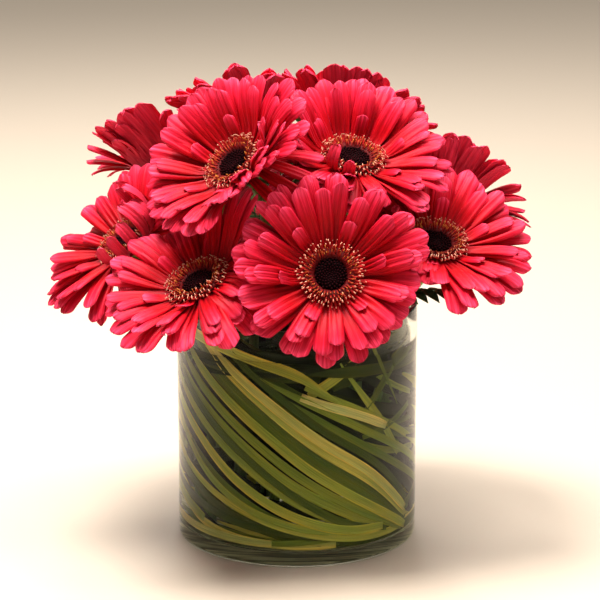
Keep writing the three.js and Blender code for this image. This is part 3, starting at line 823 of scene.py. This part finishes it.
# More leaves between and behind those: radius, width, tone and places
MORE_RUNS = (
    (69.9, 5.2, 0.78, ((67, 20), (39, 50), (11, 74), (-18, 103), (-56, 139))),
    (70.4, 4.6, 0.3, ((68, 30), (40, 63), (11, 88), (-16, 115), (-40, 138))),
    (70.3, 5.4, 0.5, ((63, 13), (36, 30), (6, 53), (-24, 81), (-80, 132))),
    (68.6, 5.6, 0.4, ((66, 17), (40, 38), (11, 63), (-18, 92), (-66, 138))),
    (69.0, 5.0, 0.58, ((50, 16), (28, 24), (0, 40), (-29, 64), (-76, 104), (-110, 128))),
    (70.2, 4.8, 0.34, ((50, 17), (26, 25), (0, 44), (-28, 70), (-84, 122))),
    (68.5, 4.4, 0.45, ((44, 18), (20, 19), (-6, 27), (-34, 44), (-66, 70), (-112, 108))),
    (70.0, 4.2, 0.72, ((60, 14), (30, 15), (0, 22), (-30, 34), (-64, 52), (-112, 86))),
    (69.2, 5.6, 0.28, ((62, 13), (30, 17), (0, 20), (-34, 26), (-70, 36), (-120, 60))),
    (68.2, 5.0, 0.82, ((20, 12), (-10, 13), (-40, 16), (-60, 22), (-74, 30))),
    (67.2, 5.0, 0.2, ((60, 40), (34, 70), (8, 96), (-18, 122), (-34, 140))),
    (66.8, 5.6, 0.15, ((78, 24), (50, 44), (20, 66), (-10, 92), (-44, 124))),
    (66.4, 5.2, 0.12, ((84, 16), (58, 30), (26, 50), (-8, 76), (-52, 108), (-80, 126))),
    (66.0, 5.8, 0.1, ((70, 50), (44, 78), (16, 100), (-10, 118), (-50, 134))),
    (67.0, 4.4, 0.45, ((80, 60), (52, 66), (24, 80), (4, 92), (-14, 108))),
    (66.6, 4.0, 0.3, ((84, 80), (60, 82), (34, 92), (12, 108), (-4, 126))),
    (68.9, 4.6, 0.6, ((60, 62), (48, 84), (34, 106), (22, 126))),
    (67.6, 4.2, 0.36, ((30, 84), (42, 102), (56, 122), (66, 136))),
    (66.9, 3.6, 0.5, ((76, 96), (58, 106), (40, 120), (26, 134))),
    (68.8, 4.8, 0.2, ((88, 40), (70, 48), (50, 62), (30, 80))),
    (70.7, 6.4, 0.66, ((-66, 140), (-44, 136), (-23, 130), (2, 120), (20, 104))),
    (70.6, 5.8, 0.97, ((49, 83), (38, 90), (25, 97), (12, 103), (2, 108))),
    (68.4, 6.2, 0.66, ((6, 108), (14, 114), (26, 123), (40, 134))),
    (70.4, 2.3, 0.42, ((38, 140), (48, 116), (58, 94))),
    (69.4, 2.2, 0.38, ((63, 132), (50, 112), (36, 95))),
    (70.2, 4.0, 0.36, ((34, 79), (50, 83), (70, 91))),
    (70.8, 4.4, 0.6, ((-84, 90), (-66, 70), (-46, 50), (-26, 36), (0, 25), (30, 18))),
    (70.5, 4.8, 0.5, ((92, 42), (75, 55), (40, 80), (10, 101), (-18, 119))),
    (69.6, 4.6, 0.42, ((94, 30), (74, 44), (42, 68), (14, 90), (-14, 112))),
    (70.1, 4.2, 0.56, ((96, 52), (78, 64), (48, 86), (24, 102), (4, 114))),
    (70.3, 9.0, 0.3, ((54, 122), (74, 129), (96, 133), (124, 136))),
    (69.0, 9.0, 0.24, ((50, 134), (76, 138), (100, 139), (128, 136))),
    (68.0, 9.0, 0.3, ((60, 139), (84, 132), (104, 126), (130, 118))),
    (70.6, 8.0, 0.22, ((36, 143), (64, 145), (94, 145), (128, 143))),
    (67.4, 9.0, 0.16, ((48, 130), (78, 141), (108, 144), (138, 138))),
    (66.6, 9.0, 0.12, ((70, 140), (92, 136), (112, 131), (140, 124))),
)

# Leaves that fill the vase: those on the glass at the back, and ones deeper in all round and near the rim,
# whose nearly black tones are painted shade of the vase's inside. Name, seed and count, then the ranges
# of degrees round the axis, radius, width, tone, first height and climb
FILLS = (
    ("strap_leaves_behind", 61, 52, (84, 276), (66.6, 71.0), (4.6, 7.4), (0.1, 0.85), (11.5, 76), (20, 70)),
    ("strap_leaves_inside", 62, 78, (-180, 180), (61.5, 66.0), (7.0, 9.5), (0.0, 0.2), (11.5, 92), (20, 70)),
    ("strap_leaves_low", 64, 22, (-180, 180), (63.0, 71.0), (3.6, 5.6), (0.2, 0.95), (11.5, 14), (0, 9)),
    ("strap_leaves_rim", 65, 26, (-180, 180), (66.5, 70.6), (5.0, 8.0), (0.02, 0.26), (112, 132), (4, 13)),
    ("strap_leaves_high", 63, 40, (-180, 180), (62.0, 66.0), (6.0, 8.5), (0.0, 0.3), (70, 125), (20, 70)),
)

# How many degrees such a leaf goes round, and which way: one in seven goes the other way
FILL_REACH = (55, 95)
FILL_WAYS = (1, 1, 1, 1, 1, 1, -1)


def smooth_course(places, step):
    """Evenly spaced points on a smooth line through the places."""
    places = np.asarray(places, float)
    chord = run_along(places)
    slopes = np.gradient(places, chord, axis=0)
    fine = np.linspace(0, chord[-1], 12 * len(places))
    index = np.clip(np.searchsorted(chord, fine) - 1, 0, len(places) - 2)
    span = chord[index + 1] - chord[index]
    t = ((fine - chord[index]) / span)[:, None]
    span = span[:, None]
    line = ((2 * t ** 3 - 3 * t ** 2 + 1) * places[index] + (t ** 3 - 2 * t ** 2 + t) * span * slopes[index]
            + (3 * t ** 2 - 2 * t ** 3) * places[index + 1] + (t ** 3 - t ** 2) * span * slopes[index + 1])
    run = run_along(line)
    even = np.linspace(0, run[-1], max(4, int(run[-1] / step) + 1))
    return np.stack([np.interp(even, run, line[:, k]) for k in range(2)], 1), even


def strap_leaf(skin, places, radius, width, tone, seed, blunt=False):
    """One long leaf against the glass, folded along its middle, as a thin shell."""
    columns = STRAP["columns"]
    flat = [(math.radians(degrees) * radius, height) for degrees, height in places]
    course, run = smooth_course(flat, STRAP["step"])
    ahead = unit(np.gradient(course, axis=0))
    from_tip = run[-1] - run
    share = STRAP["blunt_share" if blunt else "tip_share"]
    half = width / 2 * np.minimum(1, share + (1 - share) * from_tip / STRAP["tip_length"])
    share = STRAP["root_share"]
    half = half * np.minimum(1, share + (1 - share) * run / STRAP["root_length"])
    u = np.linspace(-1, 1, columns)
    across = np.stack([ahead[:, 1], -ahead[:, 0]], 1)
    spots = course[:, None] + (u[None, :, None] * half[:, None, None]) * across[:, None]
    angle = spots[..., 0] / radius
    fold = STRAP["fold"] * (1 - np.abs(u)) * width / STRAP["width"]
    fold = np.broadcast_to(fold + STRAP["ripple"] * np.cos(u * 3 * math.pi), angle.shape)
    grids = []
    for depth in (-fold, -fold - STRAP["thickness"]):
        r = radius + depth
        grids.append(np.stack([r * np.sin(angle), -r * np.cos(angle), spots[..., 1]], 2).reshape(-1, 3))
    grain = np.stack([u[None, :] * half[:, None], np.broadcast_to(run[:, None], angle.shape),
                      np.full(angle.shape, seed)], 2).reshape(-1, 3)
    along = np.repeat(run / run[-1], columns)
    skin.add(np.concatenate(grids), [face[::-1] for face in shell_faces(len(course), columns)],
             np.tile(grain, (2, 1)), np.tile(along, 2), tone)


def fill_leaves(fill, first_seed, material):
    """Leaves at random places, most of them coiled the same way as the ones that show."""
    name, seed, count, (first, last), radius, width, tone, heights, climbs = fill
    dice = random.Random(seed)
    skin = Skin()
    for k in range(count):
        middle = first + (last - first) * (k + 0.5) / count
        reach = dice.uniform(*FILL_REACH)
        low = dice.uniform(*heights)
        climb = dice.uniform(*climbs)
        turn = dice.choice(FILL_WAYS)
        places = []
        for part in np.linspace(0, 1, 5):
            height = min(max(low + climb * part ** 1.1, STRAP["lowest"]), STRAP["highest"])
            places.append((middle + turn * reach * (0.5 - part), height))
        strap_leaf(skin, places, dice.uniform(*radius), dice.uniform(*width), dice.uniform(*tone),
                   first_seed + 13.0 * k)
    skin.piece(name, material, "strap_leaf")


def make_strap_leaves(material):
    for k, (layer, tone, places) in enumerate(LEAF_RUNS):
        skin = Skin()
        strap_leaf(skin, places, STRAP_RADIUS[layer], STRAP["width"], tone, 31.0 * k)
        skin.piece(f"strap_leaf_{k + 1}_fine", material, "strap_leaf", [f"strap_leaf_{k + 1}"])
    skin = Skin()
    for k, (radius, width, tone, places) in enumerate(MORE_RUNS):
        strap_leaf(skin, places, radius, width, tone, 300 + 17.0 * k, blunt=k % 4 == 1)
    skin.piece("strap_leaves_between", material, "strap_leaf")
    for k, fill in enumerate(FILLS):
        fill_leaves(fill, 800 + 1000 * k, material)


# Sprig

SPRIG = {"neck": (57, -50), "bend": (46, -45, 167), "tip": (84, -52, 170), "radius": 1.25, "tip_radius": 0.6,
         "leaves": 12, "leaf_length": 18.0, "leaf_width": 8.0, "bare_share": 0.45, "lean": 0.9, "raise": -0.4}


def small_leaf(skin, rows, root, along, half_width, length, arch, tone):
    """A pointed leaf of the sprig or of a twig."""
    right = unit(np.cross(along, UP))
    above = np.cross(right, along)

    def half_at(t):
        return half_width * np.sin(math.pi * (0.08 + 0.92 * t) ** 0.75).clip(0.06)

    points = leaf_sheet(rows, half_at, root, (along, right, above), length, 0.3, arch)
    share = np.tile(np.repeat(np.linspace(0, 1, rows), 3), 2)
    skin.add(points, shell_faces(rows, 3), points, share, tone)


def make_sprig(material):
    dice = random.Random(77)
    skin = Skin()
    foot, neck = place_at(SPRIG["neck"], STEM["foot"]), place_at(SPRIG["neck"], STEM["neck"])
    bend, tip = np.array(SPRIG["bend"], float), np.array(SPRIG["tip"], float)

    def twig_at(t):
        return neck * (1 - t) ** 2 + bend * 2 * t * (1 - t) + tip * t ** 2

    twig = twig_at(np.linspace(0, 1, 24)[:, None])
    line = foot + (neck - foot) * np.linspace(0, 1, 20)[:-1, None]
    thick, thin = SPRIG["radius"], SPRIG["tip_radius"]
    radii = np.concatenate([np.full(len(line), thick), np.linspace(thick, thin, len(twig))])
    tube(skin, np.concatenate([line, twig]), radii, 10, 0.6)
    for k in range(SPRIG["leaves"]):
        part = SPRIG["bare_share"] + (1 - SPRIG["bare_share"]) * k / (SPRIG["leaves"] - 1)
        ahead = unit((bend - neck) * (1 - part) + (tip - bend) * part)
        sideways = unit(np.cross(ahead, UP)) * (1 if k % 2 else -1)
        along = unit(ahead * SPRIG["lean"] + sideways + UP * SPRIG["raise"])
        small_leaf(skin, 9, twig_at(part), along, SPRIG["leaf_width"] / 2,
                   SPRIG["leaf_length"] * dice.uniform(0.94, 1.03), 0.8, dice.uniform(0, 0.5))
    skin.piece("sprig_fine", material, "sprig_leaf", ["sprig"])


# Leafy twigs between the stems, inside the bunch: distance from the axis, degrees, height of the tip
TWIGS = tuple((5 + 9 * (k % 5), 137.5 * k, 232 - 11 * (k % 5)) for k in range(25)) + (
    (24, 100, 242), (34, 118, 246), (46, 95, 262), (38, 82, 250), (40, 102, 236), (27, 110, 238))
TWIG = {"foot": 30, "leaves": 20, "bare_share": 0.42, "half_width": 3.1}


def make_twigs(material):
    dice = random.Random(91)
    skin = Skin()
    for distance, degrees, top in TWIGS:
        out = compass(math.radians(degrees))[0]

        def twig_at(t):
            return out * (0.7 + 0.45 * t ** 1.5) * distance + UP * (TWIG["foot"] + (top - TWIG["foot"]) * t)

        tube(skin, twig_at(np.linspace(0, 1, 14)[:, None]), np.linspace(1.0, 0.5, 14), 6, 0.3)
        for k in range(TWIG["leaves"]):
            at = TWIG["bare_share"] + (1 - TWIG["bare_share"]) * k / (TWIG["leaves"] - 1)
            side = math.radians(dice.uniform(0, 360))
            along = unit([math.cos(side), math.sin(side), dice.uniform(0.2, 0.9)])
            small_leaf(skin, 7, twig_at(at), along, TWIG["half_width"], dice.uniform(11, 17),
                       dice.uniform(0, 2), dice.uniform(0, 0.5))
    skin.piece("twigs_inside", material, "sprig_leaf")


# Materials

def shader(name):
    made = bpy.data.materials.new(name)
    made.use_nodes = True
    tree = made.node_tree
    return made, tree, tree.nodes["Principled BSDF"]


def node(tree, kind, **settings):
    made = tree.nodes.new("ShaderNode" + kind)
    for key, value in settings.items():
        setattr(made, key, value)
    return made


def feed(tree, socket, value):
    """Gives a socket a number or a colour, or links another node's output to it."""
    if isinstance(value, bpy.types.NodeSocket):
        tree.links.new(value, socket)
    else:
        socket.default_value = value if isinstance(value, (int, float)) else (*value, 1.0)


def dressed(tree, surface, colour, settings):
    feed(tree, surface.inputs["Base Color"], colour)
    for name, value in settings.items():
        feed(tree, surface.inputs[name], value)


def attribute(tree, name, output="Fac"):
    return node(tree, "Attribute", attribute_name=name).outputs[output]


def ramp(tree, source, stops):
    """A colour ramp; a stop's colour is red, green and blue, or one number for a grey."""
    made = node(tree, "ValToRGB")
    elements = made.color_ramp.elements
    while len(elements) < len(stops):
        elements.new(1.0)
    for element, (place, colour) in zip(elements, stops):
        element.position = place
        element.color = (*colour, 1.0) if isinstance(colour, tuple) else (colour, colour, colour, 1.0)
    tree.links.new(source, made.inputs["Fac"])
    return made.outputs["Color"]


def mixed(tree, kind, factor, first, second):
    made = node(tree, "Mix", data_type="RGBA", blend_type=kind)
    for socket, value in ((made.inputs[0], factor), (made.inputs[6], first), (made.inputs[7], second)):
        feed(tree, socket, value)
    return made.outputs[2]


def shaders_mixed(tree, factor, first, second):
    """Mixes two shaders into what the material shows."""
    blend = node(tree, "MixShader")
    feed(tree, blend.inputs["Fac"], factor)
    tree.links.new(first, blend.inputs[1])
    tree.links.new(second, blend.inputs[2])
    tree.links.new(blend.outputs["Shader"], tree.nodes["Material Output"].inputs["Surface"])


def streaks(tree, across, along, detail=3.0):
    """Noise drawn out along the grain."""
    stretch = node(tree, "Mapping")
    stretch.inputs["Scale"].default_value = (across, along, 1.0)
    tree.links.new(attribute(tree, "grain", "Vector"), stretch.inputs["Vector"])
    noise = node(tree, "TexNoise")
    for name, value in (("Scale", 1.0), ("Detail", detail), ("Roughness", 0.55)):
        noise.inputs[name].default_value = value
    tree.links.new(stretch.outputs["Vector"], noise.inputs["Vector"])
    return noise.outputs["Fac"]


def bumped(tree, surface, height, strength, depth):
    bump = node(tree, "Bump")
    bump.inputs["Strength"].default_value = strength
    bump.inputs["Distance"].default_value = depth * MM
    tree.links.new(height, bump.inputs["Height"])
    tree.links.new(bump.outputs["Normal"], surface.inputs["Normal"])
    return bump.outputs["Normal"]


def with_translucence(tree, surface, colour, share, normal):
    """Mixes in light that comes through a thin leaf."""
    through = node(tree, "BsdfTranslucent")
    tree.links.new(colour, through.inputs["Color"])
    tree.links.new(normal, through.inputs["Normal"])
    shaders_mixed(tree, share, surface.outputs["BSDF"], through.outputs["BSDF"])


def petal_material():
    made, tree, surface = shader("petal")
    # The colour darkens towards the root. This is partly the petal's own colour and partly painted shade
    # where the petals crowd round the florets.
    colour = ramp(tree, attribute(tree, "share"), (
        (0.0, (0.22, 0.0, 0.001)), (0.25, (0.37, 0.0002, 0.002)), (0.55, (0.56, 0.001, 0.006)),
        (0.82, (0.76, 0.011, 0.04)), (1.0, (0.88, 0.045, 0.115))))
    lines = streaks(tree, 1.15, 0.03)
    fine = ramp(tree, lines, ((0.34, (0.7, 0.42, 0.46)), (0.5, (0.92, 0.85, 0.85)), (0.66, (1.14, 1.7, 1.7))))
    colour = mixed(tree, "MULTIPLY", 1.0, colour, fine)
    each = ramp(tree, attribute(tree, "tone"), ((0.0, (0.86, 0.7, 0.78)), (0.4, 1.0), (0.8, (1.1, 1.5, 1.4))))
    colour = mixed(tree, "MULTIPLY", 1.0, colour, each)
    under = ramp(tree, attribute(tree, "tone"), ((0.84, 0.0), (UNDER_TONE, 0.4)))
    colour = mixed(tree, "MIX", under, colour, (0.9, 0.06, 0.13))
    dressed(tree, surface, colour, {
        "Roughness": 0.45, "Specular IOR Level": 0.2, "Specular Tint": (1.0, 0.45, 0.6),
        "Sheen Weight": 0.2, "Sheen Roughness": 0.4, "Sheen Tint": (1.0, 0.08, 0.2)})
    normal = bumped(tree, surface, lines, 0.6, 0.3)
    with_translucence(tree, surface, colour, 0.18, normal)
    return made


def floret_material():
    made, tree, surface = shader("floret")
    red = ramp(tree, attribute(tree, "share"), (
        (0.0, (0.16, 0.001, 0.002)), (0.55, (0.36, 0.006, 0.007)), (0.76, (0.5, 0.022, 0.02)),
        (0.88, (0.8, 0.36, 0.25)), (1.0, (0.85, 0.52, 0.36))))
    dark = ramp(tree, attribute(tree, "share"), (
        (0.0, (0.06, 0.001, 0.002)), (0.6, (0.26, 0.006, 0.005)), (1.0, (0.5, 0.1, 0.02))))
    colour = mixed(tree, "MIX", ramp(tree, attribute(tree, "tone"), ((0.3, 0.0), (0.56, 1.0))), dark, red)
    gold = ramp(tree, attribute(tree, "tone"), ((0.8, 0.0), (0.9, 1.0)))
    colour = mixed(tree, "MIX", gold, colour, (0.66, 0.24, 0.045))
    dressed(tree, surface, colour, {"Roughness": 0.6, "Specular IOR Level": 0.12})
    bumped(tree, surface, streaks(tree, 3.0, 3.0), 0.4, 0.1)
    return made


def eye_material():
    made, tree, surface = shader("eye")
    colour = ramp(tree, attribute(tree, "share"), (
        (0.0, (0.004, 0.0004, 0.001)), (0.7, (0.007, 0.0006, 0.001)), (1.0, (0.028, 0.002, 0.004))))
    dressed(tree, surface, colour, {"Roughness": 0.8, "Specular IOR Level": 0.04})
    bumped(tree, surface, streaks(tree, 4.0, 4.0), 0.4, 0.1)
    return made


def edge_shade(tree):
    """Paler edges and a darker middle across a strap leaf."""
    parts = node(tree, "SeparateXYZ")
    tree.links.new(attribute(tree, "grain", "Vector"), parts.inputs["Vector"])
    place = node(tree, "MapRange")
    place.inputs["From Min"].default_value = -STRAP["width"] / 2
    place.inputs["From Max"].default_value = STRAP["width"] / 2
    tree.links.new(parts.outputs["X"], place.inputs["Value"])
    return ramp(tree, place.outputs["Result"], (
        (0.0, (1.7, 1.45, 1.2)), (0.14, (1.1, 1.08, 1.0)), (0.5, (0.85, 0.9, 0.85)),
        (0.86, (0.95, 0.97, 0.9)), (1.0, (1.5, 1.35, 1.1))))


def green_material(name, stops, roughness, lines_across, translucence, edged=False):
    made, tree, surface = shader(name)
    base = ramp(tree, attribute(tree, "tone"), stops)
    lines = streaks(tree, lines_across, 0.03)
    shade = ramp(tree, lines, ((0.32, (0.6, 0.62, 0.55)), (0.5, 0.95), (0.68, (1.3, 1.25, 1.2))))
    colour = mixed(tree, "MULTIPLY", 1.0, base, shade)
    patches = streaks(tree, 0.12, 0.02, 2.0)
    aged = ramp(tree, patches, ((0.4, (0.85, 0.95, 0.9)), (0.62, (1.15, 1.02, 0.85))))
    colour = mixed(tree, "MULTIPLY", 1.0, colour, aged)
    if edged:
        colour = mixed(tree, "MULTIPLY", 1.0, colour, edge_shade(tree))
    dressed(tree, surface, colour, {"Roughness": roughness, "Specular IOR Level": 0.15 if edged else 0.4})
    normal = bumped(tree, surface, lines, 0.4, 0.12)
    with_translucence(tree, surface, colour, translucence, normal)
    return made


def clear_material(name, colour, ior, mirror):
    """Clear to the eye, and lets light through without a dark shadow. Mirror is the strength of its
    reflections, which is nothing where glass and water touch."""
    made, tree, surface = shader(name)
    dressed(tree, surface, colour, {
        "Specular Tint": (mirror, mirror, mirror), "Roughness": 0.0, "IOR": ior, "Transmission Weight": 1.0})
    clear = node(tree, "BsdfTransparent")
    feed(tree, clear.inputs["Color"], colour)
    shadow = node(tree, "LightPath").outputs["Is Shadow Ray"]
    shaders_mixed(tree, shadow, surface.outputs["BSDF"], clear.outputs["BSDF"])
    return made


def foot_material():
    """The underside of the vase: opaque, with blurred olive stripes painted on, a painted view of the leaves
    that the thick glass would show there.
    """
    made, tree, surface = shader("glass_foot")
    colour = ramp(tree, streaks(tree, 0.02, 0.22), (
        (0.38, (0.14, 0.13, 0.06)), (0.5, (0.5, 0.45, 0.25)), (0.6, (0.9, 0.82, 0.55))))
    dressed(tree, surface, colour, {"Roughness": 0.5})
    return made


def floor_material():
    made, tree, surface = shader("table")
    spot = node(tree, "TexNoise")
    spot.inputs["Scale"].default_value = 1.4
    spot.inputs["Detail"].default_value = 1.0
    colour = ramp(tree, spot.outputs["Fac"], ((0.3, (0.56, 0.475, 0.39)), (0.7, (0.6, 0.515, 0.43))))
    dressed(tree, surface, colour, {"Roughness": 0.45})
    return made


# The greens, by tone
STEM_TONES = ((0.0, (0.1, 0.2, 0.03)), (0.9, (0.2, 0.33, 0.06)), (0.97, (0.6, 0.68, 0.45)))
# The lowest strap tones, nearly black, are painted shade for the leaves deep in the vase; the higher tones
# are the leaves' own greens and khaki.
STRAP_TONES = ((0.0, (0.004, 0.006, 0.0015)), (0.2, (0.012, 0.02, 0.0035)), (0.35, (0.125, 0.155, 0.027)),
               (0.52, (0.37, 0.39, 0.068)), (0.7, (0.66, 0.6, 0.12)), (0.86, (0.86, 0.69, 0.22)),
               (1.0, (0.88, 0.74, 0.34)))
SPRIG_TONES = ((0.0, (0.025, 0.07, 0.018)), (0.6, (0.05, 0.13, 0.03)))

# Clear materials: tint, refraction, and the strength of reflections
GLASS = ((0.92, 0.94, 0.88), 1.45)
WATER = ((0.95, 0.98, 0.93), 1.33)
MIRROR = 0.06


# Light, floor and camera, in metres

FLOOR_HALF = 20
WORLD = {"colour": (1.0, 0.93, 0.8), "strength": 0.27}

# name, place, height that it points at, size, watts and colour
LIGHTS = (
    ("key", (-0.42, -0.12, 1.95), 0.15, 0.8, 76, (1.0, 0.95, 0.88)),
    ("fill", (0.7, -1.5, 0.9), 0.15, 1.0, 3, (1.0, 0.93, 0.85)),
    ("top", (0.55, 0.05, 1.95), 0.2, 0.9, 37, (1.0, 0.96, 0.9)),
    ("back", (-0.25, 1.25, 1.25), 0.2, 0.9, 12, (1.0, 0.96, 0.9)),
)
CAMERA = {"place": (0.0019, -1.5878, 0.5606), "tilt": 75.5, "lens": 157.7, "sensor": 36.0,
          "nearest": 0.05, "farthest": 60.0}


def make_lights():
    for name, place, aim_height, size, watts, colour in LIGHTS:
        light = bpy.data.lights.new(name, "AREA")
        light.size, light.energy, light.color = size, watts, colour
        lamp = in_scene(name, light)
        lamp.location = place
        aim = Vector((0, 0, aim_height)) - Vector(place)
        lamp.rotation_euler = aim.to_track_quat("-Z", "Y").to_euler()


def make_floor():
    mesh = bpy.data.meshes.new("table_top")
    corners = [(x * FLOOR_HALF, y * FLOOR_HALF, 0) for x, y in ((-1, -1), (1, -1), (1, 1), (-1, 1))]
    mesh.from_pydata(corners, [], [(0, 1, 2, 3)])
    mesh.materials.append(floor_material())
    table = in_scene("table_top", mesh)


def make_world():
    world = bpy.data.worlds.new("room")
    world.use_nodes = True
    background = world.node_tree.nodes["Background"]
    background.inputs["Color"].default_value = (*WORLD["colour"], 1.0)
    background.inputs["Strength"].default_value = WORLD["strength"]
    bpy.context.scene.world = world
    bpy.context.scene.view_settings.view_transform = "Standard"


def make_camera():
    lens = bpy.data.cameras.new("camera")
    lens.lens, lens.sensor_width = CAMERA["lens"], CAMERA["sensor"]
    lens.clip_start, lens.clip_end = CAMERA["nearest"], CAMERA["farthest"]
    camera = in_scene("camera", lens)
    camera.location = CAMERA["place"]
    camera.rotation_euler = (math.radians(CAMERA["tilt"]), 0, 0)
    bpy.context.scene.camera = camera


# Assembly

def settled_heads():
    """The heads, each with the walls, stems and bends that its petals have to keep to."""
    heads = [Head(rank, *row) for rank, row in enumerate(HEADS)]
    stem_points = np.concatenate([stem_path(head, 80) for head in heads])
    for head in heads:
        head.wished = wished_points(head)
    for head in heads:
        head.walls = walls_of(head, heads)
        head.stem_points = stem_points
        head.bends = bends_round(head)
    return heads


def main():
    heads = settled_heads()
    petal, floret, eye = petal_material(), floret_material(), eye_material()
    stem = green_material("stem", STEM_TONES, 0.5, 1.2, 0.08)
    strap = green_material("strap_leaf", STRAP_TONES, 0.42, 3.2, 0.06, edged=True)
    leaf = green_material("sprig_leaf", SPRIG_TONES, 0.4, 1.6, 0.08)

    make_vase(clear_material("glass", *GLASS, MIRROR), clear_material("glass_wet", *GLASS, 0.0),
              foot_material())
    make_water(clear_material("water", *WATER, MIRROR), clear_material("water_side", *WATER, 0.0))
    make_strap_leaves(strap)
    make_sprig(leaf)
    make_twigs(leaf)
    for head in heads:
        make_petals(head, petal)
        make_florets(head, floret)
        make_eye(head, eye)
        make_stem(head, stem)
    make_floor()
    make_world()
    make_lights()
    make_camera()


main()
